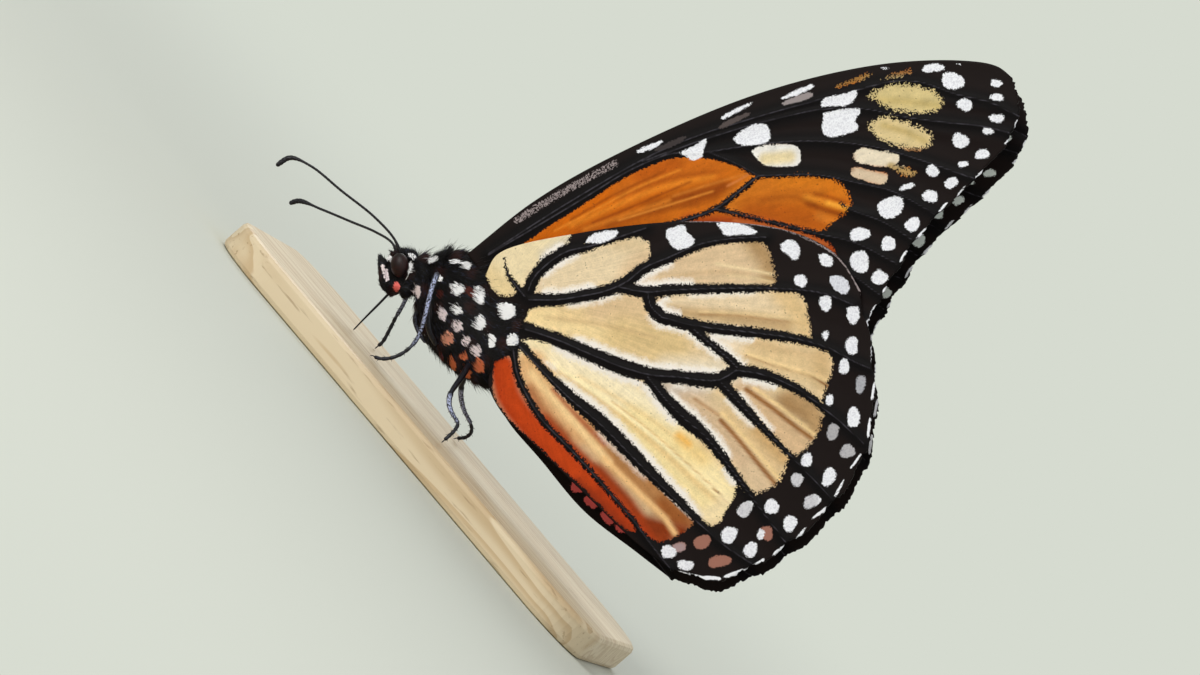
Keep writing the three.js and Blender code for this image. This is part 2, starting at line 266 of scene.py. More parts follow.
world = bpy.data.worlds.new("studio")
scene.world = world
world.use_nodes = True
sky = world.node_tree
sky.nodes.clear()
path = add_node(sky, "ShaderNodeLightPath")
seen = computed(sky, "MAXIMUM", path.outputs["Is Camera Ray"], path.outputs["Is Glossy Ray"])
seen = computed(sky, "MAXIMUM", seen, path.outputs["Is Transmission Ray"])
soft_light = add_node(sky, "ShaderNodeBackground", {"Color": (1, 1, 1, 1), "Strength": SKY_STRENGTH})
backdrop = add_node(sky, "ShaderNodeBackground", {"Color": BACKDROP, "Strength": 1.0})
both = add_node(sky, "ShaderNodeMixShader", {0: seen, 1: soft_light.outputs[0], 2: backdrop.outputs[0]})
add_node(sky, "ShaderNodeOutputWorld", {"Surface": both.outputs[0]})

floor_finish, tree, shader = new_material("pale_floor")
shader.inputs["Base Color"].default_value = FLOOR_COLOUR
set_surface(shader, 0.9, 0.1)
place = add_node(tree, "ShaderNodeTexCoord").outputs["Object"]
reach = add_node(tree, "ShaderNodeVectorMath", {0: place}, operation="LENGTH").outputs["Value"]
path = add_node(tree, "ShaderNodeLightPath")
far = product(tree, soft_step(tree, reach, FADE_FROM, FADE_TO), path.outputs["Is Camera Ray"])
glow = add_node(tree, "ShaderNodeEmission", {"Color": BACKDROP, "Strength": 1.0})
blend = add_node(tree, "ShaderNodeMixShader", {0: far, 1: shader.outputs[0], 2: glow.outputs[0]})
tree.links.new(blend.outputs[0], tree.nodes["Material Output"].inputs["Surface"])

select_only()
bpy.ops.mesh.primitive_circle_add(vertices=96, radius=FLOOR_RADIUS, fill_type="NGON",
                                  location=(0, 0, FLOOR_LEVEL))
bpy.ops.object.transform_apply(location=True)
floor = bpy.context.object
floor.name = "floor"
floor.data.materials.append(floor_finish)
print("floor at", FLOOR_LEVEL)

# %% [markdown]
# Wings, veins, legs and feelers all follow smooth lines drawn through a few points. These two
# cells have the tools for them: a smooth line with evenly spaced points, the distance from any
# number of spots to such a line, and the signed distance to a closed outline.

# %% Helpers for smooth lines
# Points worked out between two given ones.
FINE = 24


def unit(vectors):
    return vectors / np.linalg.norm(vectors, axis=-1, keepdims=True)


def rows_at(wanted, known, rows):
    """Rows of numbers, read off at the wanted places between the known ones."""
    return np.column_stack([np.interp(wanted, known, column) for column in rows.T])


def smooth_line(points, count):
    """`count` evenly spaced points along a smooth curve through the given points."""
    given = np.asarray(points, float)
    chain = np.vstack([2 * given[0] - given[1], given, 2 * given[-1] - given[-2]])
    gaps = np.linalg.norm(np.diff(chain, axis=0), axis=1) ** 0.5
    t = np.linspace(0, 1, FINE, endpoint=False)[:, None]
    dense = []
    for i in range(1, len(chain) - 2):
        before, here, after = gaps[i - 1:i + 2]
        p0, p1, p2, p3 = chain[i - 1:i + 3]
        leave = ((p1 - p0) / before - (p2 - p0) / (before + here) + (p2 - p1) / here) * here
        reach = ((p2 - p1) / here - (p3 - p1) / (here + after) + (p3 - p2) / after) * here
        dense.append((2 * t**3 - 3 * t**2 + 1) * p1 + (t**3 - 2 * t**2 + t) * leave
                     + (3 * t**2 - 2 * t**3) * p2 + (t**3 - t**2) * reach)
    dense = np.vstack([*dense, given[-1:]])
    length = np.r_[0, np.cumsum(np.linalg.norm(np.diff(dense, axis=0), axis=1))]
    return rows_at(np.linspace(0, length[-1], count), length, dense)


# %% Helpers for distances
# How far round itself a small outline counts.
NEAR = 1.5


def line_distance(spots, line):
    """How far each spot is from a line, and the share of the line's length where it is nearest."""
    nearest = np.full(len(spots), np.inf)
    share = np.zeros(len(spots))
    for i, (start, end) in enumerate(zip(line[:-1], line[1:])):
        step = end - start
        offset = spots - start
        t = np.clip(offset @ step / (step @ step), 0, 1)
        gap = np.hypot(offset[:, 0] - t * step[0], offset[:, 1] - t * step[1])
        closer = gap < nearest
        nearest[closer] = gap[closer]
        share[closer] = (i + t[closer]) / (len(line) - 1)
    return nearest, share


def outline_distance(spots, outline):
    """Signed distance to a closed outline, negative inside it."""
    ring = np.vstack([outline, outline[:1]])
    gap, _ = line_distance(spots, ring)
    inside = np.zeros(len(spots), bool)
    x, z = spots.T
    for (x1, z1), (x2, z2) in zip(ring[:-1], ring[1:]):
        crosses = (z1 > z) != (z2 > z)
        inside ^= crosses & (x < x1 + (z - z1) * (x2 - x1) / (z2 - z1 if z2 != z1 else 1e-9))
    return np.where(inside, -gap, gap)


def smoothstep(value, low, high):
    t = np.clip((value - low) / (high - low), 0, 1)
    return t * t * (3 - 2 * t)


def stepped_line(points, step, fewest):
    """A smooth line with about one point for every step of its length."""
    length = np.linalg.norm(np.diff(np.asarray(points, float), axis=0), axis=1).sum()
    return smooth_line(points, max(fewest, int(length / step)))


def close_to(spots, shape, reach):
    """Which spots are in the box round a shape, widened by reach."""
    low, high = shape.min(axis=0) - reach, shape.max(axis=0) + reach
    return np.flatnonzero(((spots > low) & (spots < high)).all(axis=1))


# %% [markdown]
# Every piece is a mesh whose corners are worked out all at once. These helpers read and write the
# corners, keep a value, a vector or a colour for each of them, and run the few edits of a mesh
# that work on what is selected.

# %% Helpers for meshes
def edit_all(operation, **settings):
    """One edit of every face of the active mesh."""
    bpy.ops.object.mode_set(mode="EDIT")
    bpy.ops.mesh.select_all(action="SELECT")
    operation(**settings)
    bpy.ops.object.mode_set(mode="OBJECT")


def apply_modifier(thing, name, kind, **settings):
    made = thing.modifiers.new(name, kind)
    for setting, value in settings.items():
        setattr(made, setting, value)
    bpy.ops.object.modifier_apply(modifier=name)


def corners_of(mesh):
    places = np.empty(len(mesh.vertices) * 3)
    mesh.vertices.foreach_get("co", places)
    return places.reshape(-1, 3)


def corner_normals(mesh):
    normals = np.empty(len(mesh.vertices) * 3)
    mesh.vertex_normals.foreach_get("vector", normals)
    return normals.reshape(-1, 3)


def place_corners(mesh, places):
    mesh.vertices.foreach_set("co", np.ascontiguousarray(places, dtype=np.float32).ravel())
    mesh.update()


def store(mesh, name, values):
    """Keep for each corner a value, a vector of three numbers or a colour of four."""
    values = np.ascontiguousarray(values, dtype=np.float32)
    width = 1 if values.ndim == 1 else values.shape[1]
    kind, key = {1: ("FLOAT", "value"), 3: ("FLOAT_VECTOR", "vector"), 4: ("FLOAT_COLOR", "color")}[width]
    mesh.attributes.new(name, kind, "POINT").data.foreach_set(key, values.ravel())


# %% [markdown]
# ## The wings
#
# A wing is a thin sheet stretched over stiff tubes, the veins. Its colours are rows of flat
# scales, each about a tenth of a millimetre. It could be cut from a flat plate, but then nothing
# would follow the curved outline. Instead a grid is stretched between the wing's four edges, so
# that its rows run from root to rim as the scales do.

# %% Outlines of the two wings
HINGE = np.array([1.5, 1.0])
FOREWING = {
    "root_gap": 1.7, "spread": 0.017, "grid": (270, 164), "turn": math.radians(-1.5),
    "edges": {
        "costa": [(-1.6, 4.4), (4.6, 9.25), (12.2, 13.5), (24.9, 18.85), (36, 21.45), (43.8, 21.75),
                  (46.9, 21.2), (48.3, 20.15)],
        "outer": [(48.3, 20.15), (49, 18.5), (48.5, 15.2), (45, 10.9), (40.4, 6.3), (37.2, 1.3), (35, -2.9)],
        "inner": [(2.4, 0.7), (12, -0.3), (24, -1.9), (35, -2.9)],
        "root": [(-1.6, 4.4), (0.2, 2.2), (2.4, 0.7)],
    },
}
HINDWING = {
    "root_gap": 2.85, "spread": 0.013, "grid": (240, 190), "turn": math.radians(-1.8),
    "edges": {
        "costa": [(0.25, 2.4), (1.4, 4.3), (8.9, 6.2), (19.8, 7.2), (28.3, 6.2), (32.4, 4.1), (34.5, 1.1)],
        "outer": [(34.5, 1.1), (35.5, -3), (36.05, -8), (35.35, -13.7), (32.4, -18.55),
                  (26.75, -23.4), (21.5, -25.6), (17.6, -24.5)],
        "inner": [(1.1, -5.4), (0.65, -7.6), (1.9, -10.2), (5.6, -13.8), (10, -18),
                  (14.4, -22.1), (17.6, -24.5)],
        "root": [(0.25, 2.4), (0.9, -1.5), (1.1, -5.4)],
    },
}
print("edges:", len(FOREWING["edges"]) + len(HINDWING["edges"]))

# %% A patch between four edges
SCALLOPS = 8
SCALLOP_DEPTH = 0.3
WING_HEART = np.array([20.0, 5.0])
FLARE = (0, 0, 0.1, 0.45, 0.85, 0.1, 0)
FLARE_WAY = (-0.67, -0.74)
EDGE_POINTS = 400


def flared(edges):
    """The same edges, with each point of the inner edge pushed outwards as far as FLARE says."""
    across, up = FLARE_WAY
    inner = [(x + across * push, z + up * push) for (x, z), push in zip(edges["inner"], FLARE)]
    return {**edges, "inner": inner}


def stretched(edges, u, v):
    """Points of a patch stretched between four edges.

    u runs from root to rim, v from the inner edge to the front edge, the costa."""
    even = np.linspace(0, 1, EDGE_POINTS)

    def along(points, share):
        return rows_at(share, even, smooth_line(points, EDGE_POINTS))

    costa, inner = along(edges["costa"], u), along(edges["inner"], u)
    root, outer = along(edges["root"][::-1], v), along(edges["outer"][::-1], v)
    wave = np.sin(math.pi * SCALLOPS * v) ** 2
    pull = WING_HEART - outer
    outer = outer + unit(pull) * (SCALLOP_DEPTH * wave)[:, None]
    corners = [np.asarray(edges[name][i], float) for name, i in
               (("inner", 0), ("inner", -1), ("costa", 0), ("costa", -1))]
    u, v = u[:, None], v[:, None]
    flat = ((1 - u) * (1 - v) * corners[0] + u * (1 - v) * corners[1]
            + (1 - u) * v * corners[2] + u * v * corners[3])
    return (1 - v) * inner + v * costa + (1 - u) * root + u * outer - flat


print("hindwing's corner:", stretched(HINDWING["edges"], np.ones(1), np.zeros(1)).round(2))

# %% [markdown]
# The black lines over the wing are scales on and beside the veins. Each vein is drawn as a line
# with the half widths of its black band at even steps along it. One band lies beside its vein, so
# it has an offset too.

# %% Veins of the hindwing
HINDWING["veins"] = [
    ([(3.9, 0.4), (3, 1.5), (2.3, 2.5), (2, 3.9)], (0.5, 0.3, 0.18, 0.05)),
    ([(4.2, 0.9), (4.7, 2.1), (5.65, 3.1), (7.6, 4.45), (9.8, 4.95), (12.1, 5.65), (15, 6.6)],
     (0.5, 0.55, 0.58, 0.5, 0.34, 0.38, 0.6)),
    ([(4.3, 0.1), (6.9, 0.08), (9.2, 0.42), (11.2, 0.82), (13.2, 1.65), (14.85, 2.95), (17, 3.85), (20, 5.1),
      (23, 5.6), (26, 5.7)], (0.65, 0.56, 0.58, 0.58, 0.54, 0.52, 0.45, 0.42)),
    ([(12.5, 1.25), (15, 0.75), (17.4, 0.92), (19.9, 1), (24.3, 1.05), (29, 0.9), (31.5, 0.5), (34, -0.5)],
     (0.58, 0.55, 0.48, 0.42, 0.32, 0.3, 0.28)),
    ([(15.2, 0.7), (15.55, -0.6), (16.6, -1.6)], (0.62, 0.6)),
    ([(16.6, -1.6), (20, -2.4), (25, -3), (29, -3.6), (32, -4.5), (34, -5.6), (35.6, -6.3)],
     (0.6, 0.56, 0.5, 0.5, 0.42, 0.36, 0.25)),
    ([(19.5, -2.7), (21, -4), (22.5, -5.2), (23.5, -6.2)], (0.5, 0.38, 0.42, 0.52)),
    ([(23.3, -6.4), (25.8, -6.8), (27.9, -7.6), (29.7, -8.6), (31.4, -9.9), (33.9, -12), (35, -13.1)],
     (0.6, 0.56, 0.46, 0.38, 0.34, 0.25)),
    ([(4, -2.6), (7, -3.6), (10, -4.9), (13, -6.1), (15.5, -6.8), (18, -7), (21.8, -7.3), (23.4, -6.4)],
     (0.68, 0.64, 0.66, 0.72, 0.76, 0.66, 0.62, 0.74, 0.6)),
    ([(22, -7.5), (23.8, -9.5), (25.4, -11.2), (27, -12.8), (30, -15.8), (32.2, -18.2)],
     (0.6, 0.52, 0.36, 0.28, 0.28, 0.25)),
    ([(15.3, -7), (17, -9.1), (18.65, -10.75), (20.5, -12.3), (21.95, -14), (23.9, -16.6), (26, -19.4),
      (28, -22)], (0.56, 0.62, 0.76, 0.52, 0.42, 0.36, 0.3, 0.26)),
    ([(3.5, -4.2), (5.5, -6.3), (8, -8.8), (11, -11.3), (14, -14.3), (16, -16.3), (18, -18.2), (20, -20.2),
      (22, -22), (25, -24)], (0.3, 0.38, 0.56, 0.72, 0.7, 0.62, 0.46, 0.36, 0.3, 0.2), 0.14),
    ([(2.9, -4.4), (3.3, -6.7), (4.35, -8.9), (5.6, -10.85), (8.15, -13.45), (10.1, -15.5), (12, -17.65),
      (14, -19.9), (15.5, -21.9), (17.5, -24.4)], (0.42, 0.34, 0.32, 0.28, 0.24, 0.22, 0.22, 0.24)),
]
print("hindwing's veins:", len(HINDWING["veins"]))

# %% Veins of the forewing
FOREWING["veins"] = [
    ([(0.4, 4.4), (8, 9.2), (17, 14.1), (27, 17.3), (36, 19.6)], (0.3, 0.2)),
    ([(14.5, 12.8), (23, 15.6), (30.9, 17.4), (35, 17.4), (38.2, 16.7), (41.5, 16.2), (45.5, 15.75),
      (48.1, 15.1)], (0.2, 0.15)),
    ([(20.5, 13.6), (26, 14.35), (30.9, 14.5), (36, 13.9), (40, 12.7), (44.8, 11)], (0.2, 0.15)),
    ([(25.2, 11.4), (30.9, 11.4), (34.1, 10.7), (37.4, 9.9), (41.3, 7.8)], (0.25, 0.15)),
    ([(25.1, 11.3), (23.1, 9.7), (21.3, 8.4), (18.2, 7.3), (14, 6.3), (5, 4.2), (1.4, 2.8)],
     (0.24, 0.26, 0.26, 0.24, 0.3)),
    ([(21.2, 8.4), (25, 7.5), (30, 6.2), (34.1, 5.2), (37.9, 3.25)], (0.2, 0.16)),
    ([(14, 6.3), (22, 4.2), (30, 2.9), (32.8, 2.8), (36.3, 0.5)], (0.16, 0.14)),
    ([(1.6, 2.4), (12, 1.6), (24, 0.1), (35.3, -1.9)], (0.2, 0.14)),
    ([(0.4, 4.3), (8, 8.75), (10, 9.95), (12.6, 11.55), (14.4, 12.45), (17.1, 13.45),
      (20.5, 13.6)], (0.35, 0.2)),
    ([(20.5, 13.6), (23, 12.6), (25.2, 11.4)], (0.25, 0.25)),
    ([(35, 19.4), (37.6, 19.9), (40, 19.8), (43.1, 18.7), (46.3, 17.9), (48.9, 16.6)], (0.2, 0.12)),
    ([(32.8, 8.8), (33.5, 8.3), (36.6, 7.1), (39.2, 5.5)], (0.15, 0.12)),
]
print("forewing's veins:", len(FOREWING["veins"]))

# %% Distances to the veins
VEIN_STEP = 0.8
FAR = 9.0
# One place on the hindwing, to print what is found there.
SAMPLE = np.array([[10.0, 3.0]])


def vein_fields(spots, veins):
    """Signed distance to the nearest black band, negative inside, and distance to the nearest vein."""
    band = np.full(len(spots), FAR)
    centre = np.full(len(spots), FAR)
    for points, halves, *offset in veins:
        line = stepped_line(points, VEIN_STEP, 6)
        gap, share = line_distance(spots, line)
        centre = np.minimum(centre, gap)
        if offset:
            course = unit(np.gradient(line, axis=0))
            beside = np.column_stack([-course[:, 1], course[:, 0]])
            gap, share = line_distance(spots, line + offset[0] * beside)
        band = np.minimum(band, gap - np.interp(share, np.linspace(0, 1, len(halves)), halves))
    return band, centre


print("sample to band and vein:", vein_fields(SAMPLE, HINDWING["veins"]))

# %% [markdown]
# White spots fill the black rim in two rows. Each is drawn as x, z, length, width and the angle of
# its long side. Larger blocks have corners, so they are drawn as outlines. Dim spots are greyish or
# brown, and dashes are the short white lines of the fringe, drawn as their two ends.

# %% White spots of the hindwing
HINDWING["spots"] = [
    (31.5, -3.25, 0.6, 0.9, 0), (33.2, -6.1, 0.9, 1.5, -8), (31.9, -9.1, 0.75, 1, -15),
    (32.2, -12, 1.1, 1.6, -10), (29.9, -14.55, 1, 1.35, -10), (29, -16.35, 1.1, 1.3, -30),
    (26.7, -18.8, 1.4, 1.3, -30), (24.3, -19, 1.2, 1.7, -40), (22.85, -21.35, 1.35, 1.7, -20),
    (17.35, -22.9, 1.4, 1.25, 0), (33.9, -4.2, 1.2, 1.6, 0), (34.7, -7.7, 0.9, 1.7, -5),
    (34.1, -10.7, 1.1, 2, 0), (33.55, -13.8, 1.4, 1.2, 40), (31.9, -16.1, 1.2, 1.7, -20),
    (30.35, -18.3, 1.6, 1.2, 20), (28.4, -20.3, 1.2, 1.6, -25), (25.75, -21.3, 0.7, 1, -10),
    (24.8, -22.7, 1.25, 1.4, -20), (18.9, -24.1, 1.5, 0.95, -10), (2.5, -1, 1.3, 1.4, 0),
    (3.05, -3.6, 0.8, 0.9, 0),
]
HINDWING["blocks"] = [
    [(9.45, 5.3), (9.8, 5.9), (11.75, 6.45), (12.5, 6.4), (12.35, 5.9), (10.8, 5.2)],
    [(16.9, 6.5), (18.6, 6.85), (18.8, 6.2), (19.5, 5.45), (19.05, 4.85), (17.7, 4.65), (17.2, 5.2),
     (16.8, 5.9)],
    [(21.45, 7), (22.5, 7.15), (24.4, 6.7), (25.35, 6.1), (23.45, 5.9), (22.2, 5.9), (21.75, 6.55)],
    [(27.3, 5.1), (28.2, 5.5), (29.05, 4.85), (29.1, 4), (28.65, 3.55), (27.95, 4.1), (27.45, 4.45)],
    [(30.75, 4.1), (31.5, 4.2), (32.2, 3.5), (31.85, 2.95), (31, 3.25)],
    [(31.8, 2.05), (32.45, 2.2), (33.4, 1.8), (33.65, 0.7), (33.05, 0.45), (31.95, 1.3)],
    [(28.6, 2.15), (29.4, 2.3), (29.8, 1.65), (29.5, 1.1), (28.7, 1.35)],
    [(30.95, 0.3), (31.85, 0.3), (32, -0.65), (31.6, -1.2), (30.95, -0.65)],
    [(33.4, -0.75), (34.4, -0.65), (34.6, -1.6), (34, -2.35), (33.4, -1.6)],
]
HINDWING["upper_spots"] = [
    (9.15, -15.85, 1.5, 1.25, -45), (10.55, -17.05, 1.6, 1.3, -45), (12.15, -18.55, 1.8, 1.35, -45),
    (13.3, -19.6, 1.5, 1.2, -45),
]
HINDWING["dim_spots"] = [
    (20.4, -22, 1.6, 1.2, 15), (22, -23.75, 2, 1.1, 10), (26.25, -21.2, 1.2, 1.3, 0),
    (18.3, -22.45, 1.3, 0.85, 10),
]
print("hindwing's spots:", len(HINDWING["spots"]), "and blocks:", len(HINDWING["blocks"]))

# %% White spots of the forewing
FOREWING["spots"] = [
    (15.2, 14.1, 2.7, 0.5, 21), (23.1, 17.35, 3.2, 0.45, 27), (28.8, 19.05, 3.3, 0.5, 23),
    (36.7, 21.15, 0.9, 0.25, 0), (41.1, 21.1, 2.1, 0.8, 4), (43.4, 21.4, 0.4, 0.15, 0),
    (42.9, 19.9, 2.2, 1.5, -10), (44, 17.7, 1.5, 1.1, -30), (43.6, 14.45, 1.5, 1.4, -40),
    (41.1, 11.7, 1.2, 1.1, -30), (38.8, 10.3, 1.5, 0.5, 20), (37.3, 8.45, 2.5, 1.9, 15),
    (34.5, 6, 1.8, 1.3, 10), (34.5, 3.5, 1.75, 2, 0),
    (46.85, 19.65, 1.1, 0.7, -15), (46.9, 18.35, 1.3, 0.7, -8), (46.9, 16.45, 1.4, 0.85, 0),
    (46.1, 15.3, 1.1, 0.6, -5), (45.6, 13.2, 1.4, 0.9, 5), (43.85, 12.3, 0.95, 0.65, 0),
    (42.8, 10.6, 1.3, 1, 30), (40.9, 9.4, 1.5, 1.1, -10), (39.3, 6.85, 1.5, 1.2, 35),
    (37.1, 5.1, 1.3, 1.4, 0), (36.3, 2.05, 1.4, 1.4, 45),
]
FOREWING["blocks"] = [
    [(17.8, 13.5), (19, 14.1), (20.5, 14.8), (20.2, 13.9), (20, 13.1), (19, 12.8), (18.5, 13.3)],
    [(22.8, 14.8), (24, 15.8), (25.9, 16.1), (26.2, 14.5), (25, 14.2), (23.5, 14.2)],
    [(30.9, 17.6), (31, 18.3), (32.8, 18.8), (34.3, 19.15), (33.5, 17.8), (32, 17.7)],
    [(31.1, 17.1), (32.8, 17.4), (34.6, 17.35), (34, 16.3), (34.4, 15.7), (33.5, 15.2), (32.5, 14.9),
     (31.1, 15.1)],
]
FOREWING["dim_spots"] = [
    (17.1, 14.35, 3.2, 0.5, 22), (22.9, 16.45, 3, 0.5, 25), (28.8, 18.4, 3.1, 0.55, 19),
]
print("forewing's spots:", len(FOREWING["spots"]), "and blocks:", len(FOREWING["blocks"]))

# %% Tints of single spots
# Tints of the dim spots, and greyer tints of single white spots, each as a colour, a width, the
# softness of its edge, its strength and the line it follows.
# On the wings' upper sides every spot takes these dim tints instead of white, as painted shade; near the
# forewing's outer edge the tint is almost white.
HINDWING["dim_base"], FOREWING["dim_base"] = (168, 116, 100), (128, 128, 132)
HINDWING["dim_strokes"] = [
    ((176, 150, 150), 0.8, 0.3, 1, [(18, -22.6), (18.5, -22.5)]),
    # Red on the far hindwing's upper spots: painted shade, coloured by light coming through the orange wing.
    ((240, 104, 104), 1.6, 0.5, 1, [(8.6, -15.2), (14.4, -20.8)]),
]
FOREWING["dim_strokes"] = [
    ((62, 55, 55), 1, 0.5, 1, [(15.2, 13.6), (19, 15.2)]),
    ((86, 76, 74), 1, 0.5, 1, [(21.2, 15.7), (24.6, 17.2)]),
    ((156, 146, 146), 1, 0.5, 1, [(27.2, 17.8), (30.4, 19)]),
    ((230, 238, 232), 6, 0.6, 1, [(46, 19), (45, 14), (40, 8), (35.5, 2)]),
]
HINDWING["spot_strokes"] = [
    ((190, 187, 186), 1.7, 0.3, 1, [(32.2, -11.8), (32.2, -12.2)]),
    ((198, 195, 194), 1.4, 0.3, 1, [(33.3, -13.7), (33.6, -13.9)]),
    ((186, 186, 188), 1.2, 0.3, 1, [(34.7, -7.2), (34.7, -8.2)]),
    ((222, 220, 220), 1.4, 0.4, 1, [(29, -16.2), (30.2, -18.4)]),
    ((226, 224, 224), 1.4, 0.4, 1, [(24, -18.8), (24.6, -19.3)]),
    ((234, 235, 238), 1.4, 0.4, 1, [(32, 2), (33.4, 0.8)]),
]
print("tinted spots:", len(HINDWING["spot_strokes"]))

# %% Dashes of the fringe
HINDWING["dashes"] = [
    ((35.25, -0.9), (35.45, -2.5)), ((35.7, -4.3), (35.75, -5.6)), ((35.95, -7.6), (35.75, -9.1)),
    ((35.6, -10.8), (35.4, -12.5)), ((34.8, -14.05), (33.9, -15.25)), ((33.25, -16.4), (32.45, -17.9)),
    ((31.75, -18.85), (30.45, -19.85)), ((29.8, -20.75), (28.9, -21.75)), ((27.9, -22.4), (26.9, -23.1)),
    ((26.1, -23.5), (25.2, -24.1)), ((24.6, -24.4), (22.4, -25.2), 0.34),
    ((22.1, -25.3), (20.2, -25.2), 0.34), ((20.5, -25.25), (18.3, -24.75), 0.34),
]
FOREWING["dashes"] = [
    ((48.9, 19), (49, 17.9)), ((48.75, 16.3), (48.5, 15.4)), ((48.2, 14.7), (47.7, 14.1)),
    ((47, 12.9), (46.2, 12.2)), ((45.7, 11.7), (45.1, 11.1)), ((44, 10.2), (43.4, 9.5)),
    ((42.4, 8.8), (41.7, 8)), ((40.5, 6.5), (39.7, 5.6)), ((38.7, 4.4), (38.2, 3.5)),
    ((37.3, 1.7), (36.7, 0.8)), ((35.95, -0.5), (35.5, -1.4)), ((35.4, -1.7), (35, -2.5)),
]
DASH_WIDTH, DASH_EXTRA = 0.23, 0.25
print("dashes:", len(HINDWING["dashes"]) + len(FOREWING["dashes"]))

# %% Ovals for spots and dashes
OVAL_POINTS, OVAL_POWER = 18, 0.85


def oval(x, z, length, width, angle, number):
    """An uneven, slightly square oval. The number gives each spot its own unevenness."""
    turn = np.linspace(0, 2 * math.pi, OVAL_POINTS, endpoint=False)
    uneven = 1 + 0.07 * np.sin(3 * turn + 2.3 * number) + 0.05 * np.sin(2 * turn + 1.7 * number)
    across = np.sign(np.cos(turn)) * np.abs(np.cos(turn)) ** OVAL_POWER * length / 2 * uneven
    up = np.sign(np.sin(turn)) * np.abs(np.sin(turn)) ** OVAL_POWER * width / 2 * uneven
    c, s = math.cos(math.radians(angle)), math.sin(math.radians(angle))
    return np.column_stack([x + across * c - up * s, z + across * s + up * c])


def ovals_of(spots):
    return [oval(*spot, number) for number, spot in enumerate(spots)]


def dash_ovals(dashes):
    """Each dash as a long oval. A dash may give its own width as a third value."""
    made = []
    for number, (start, end, *width) in enumerate(dashes):
        middle = ((start[0] + end[0]) / 2, (start[1] + end[1]) / 2)
        angle = math.degrees(math.atan2(end[1] - start[1], end[0] - start[0]))
        length = math.dist(start, end) + DASH_EXTRA
        made.append(oval(*middle, length, *(width or [DASH_WIDTH]), angle, number))
    return made


def spot_field(spots, outlines):
    """Signed distance to the nearest of many small outlines. Far from all of them it is NEAR."""
    field = np.full(len(spots), NEAR)
    for outline in outlines:
        close = close_to(spots, outline, NEAR)
        field[close] = np.minimum(field[close], outline_distance(spots[close], outline))
    return field


print("first spot, in mm:", np.ptp(ovals_of(HINDWING["spots"])[0], axis=0).round(2))

# %% [markdown]
# Between the veins the wing is coloured. Every coloured field is an outline, with how ragged its
# own edge is. Its black surroundings then come by themselves: what is in no field is black.

# %% Coloured fields of the hindwing
HINDWING["fields"] = [
    # outline, raggedness of its edge
    ([(0.2, 2.3), (0.2, 3.2), (1.2, 4.6), (4, 5.6), (8, 6.3), (7.9, 5.4), (7, 4.8), (5.3, 3.8),
      (4.7, 2.9), (4.15, 2), (3.7, 1.1), (2.6, 0.5), (1.3, 0.7)], 0.35),
    ([(4.7, 0.3), (5.4, 2.6), (7, 4.2), (10, 5.35), (15, 5.6), (15.35, 4.6), (15.2, 3.2), (14.2, 1.7),
      (12.5, 0.9), (8, -0.2)], 0.3),
    ([(12.8, 1.2), (14.5, 2.3), (17, 3.6), (20, 5), (23, 5.5), (25.2, 5.5), (26.2, 4.6), (26.6, 3.3),
      (26.9, 2), (26.7, 1.2), (20, 0.9), (14, 0.5)], 0.45),
    ([(15, 1), (29.2, 0.6), (29.6, -0.2), (29.9, -1.8), (30.2, -3.3), (29.9, -4.2), (20, -2.6),
      (16.4, -2)], 0.42),
    ([(19, -2.4), (25, -2.7), (30.4, -4.1), (31.8, -4.9), (32.1, -6.3), (31.6, -7.8), (31, -9.2),
      (28, -7.6), (22, -6.5)], 0.4),
    ([(3.95, -1.8), (4.3, -0.9), (7.5, 0.1), (10, 0.3), (15.2, 1), (16, -1.7), (20.5, -3.3), (24, -6.6),
      (21.8, -7.1), (14, -6.6), (4.7, -2.9)], 0.25),
    ([(22.6, -6.2), (25.5, -6.2), (29.6, -8), (31.3, -9.4), (31.2, -11), (30.3, -12.9), (28.5, -14.2),
      (26, -12), (23, -8.9)], 0.5),
    ([(15.6, -7.2), (21.6, -7.4), (24, -9.2), (28.1, -13.4), (28.2, -14.2), (27.6, -16), (26.9, -16.9),
      (24.6, -17.6), (22, -14), (20, -11.5)], 0.45),
    ([(3.7, -3.6), (7, -3.4), (13, -6), (17, -8.4), (21, -12.2), (23.3, -15.4), (23.5, -17.2), (22.7, -19),
      (21.3, -20.8), (19, -19.3), (10, -10.6)], 0.3),
    ([(3.2, -4.5), (4.2, -4.8), (10, -10.4), (16, -16.3), (19.8, -20.3), (19, -20.9), (17.3, -21.9),
      (16.3, -22), (10, -15.8), (4, -8.6)], 0.3),
    ([(1.2, -5.6), (3.1, -5), (3.7, -7.6), (5.2, -10.6), (10, -15.8), (13.1, -19.3), (14.5, -21.1),
      (13.5, -20.9), (9.3, -16.9), (5.1, -13.1), (2.2, -10.3), (1.1, -8.5)], 0.22),
]
print("hindwing's fields:", len(HINDWING["fields"]))

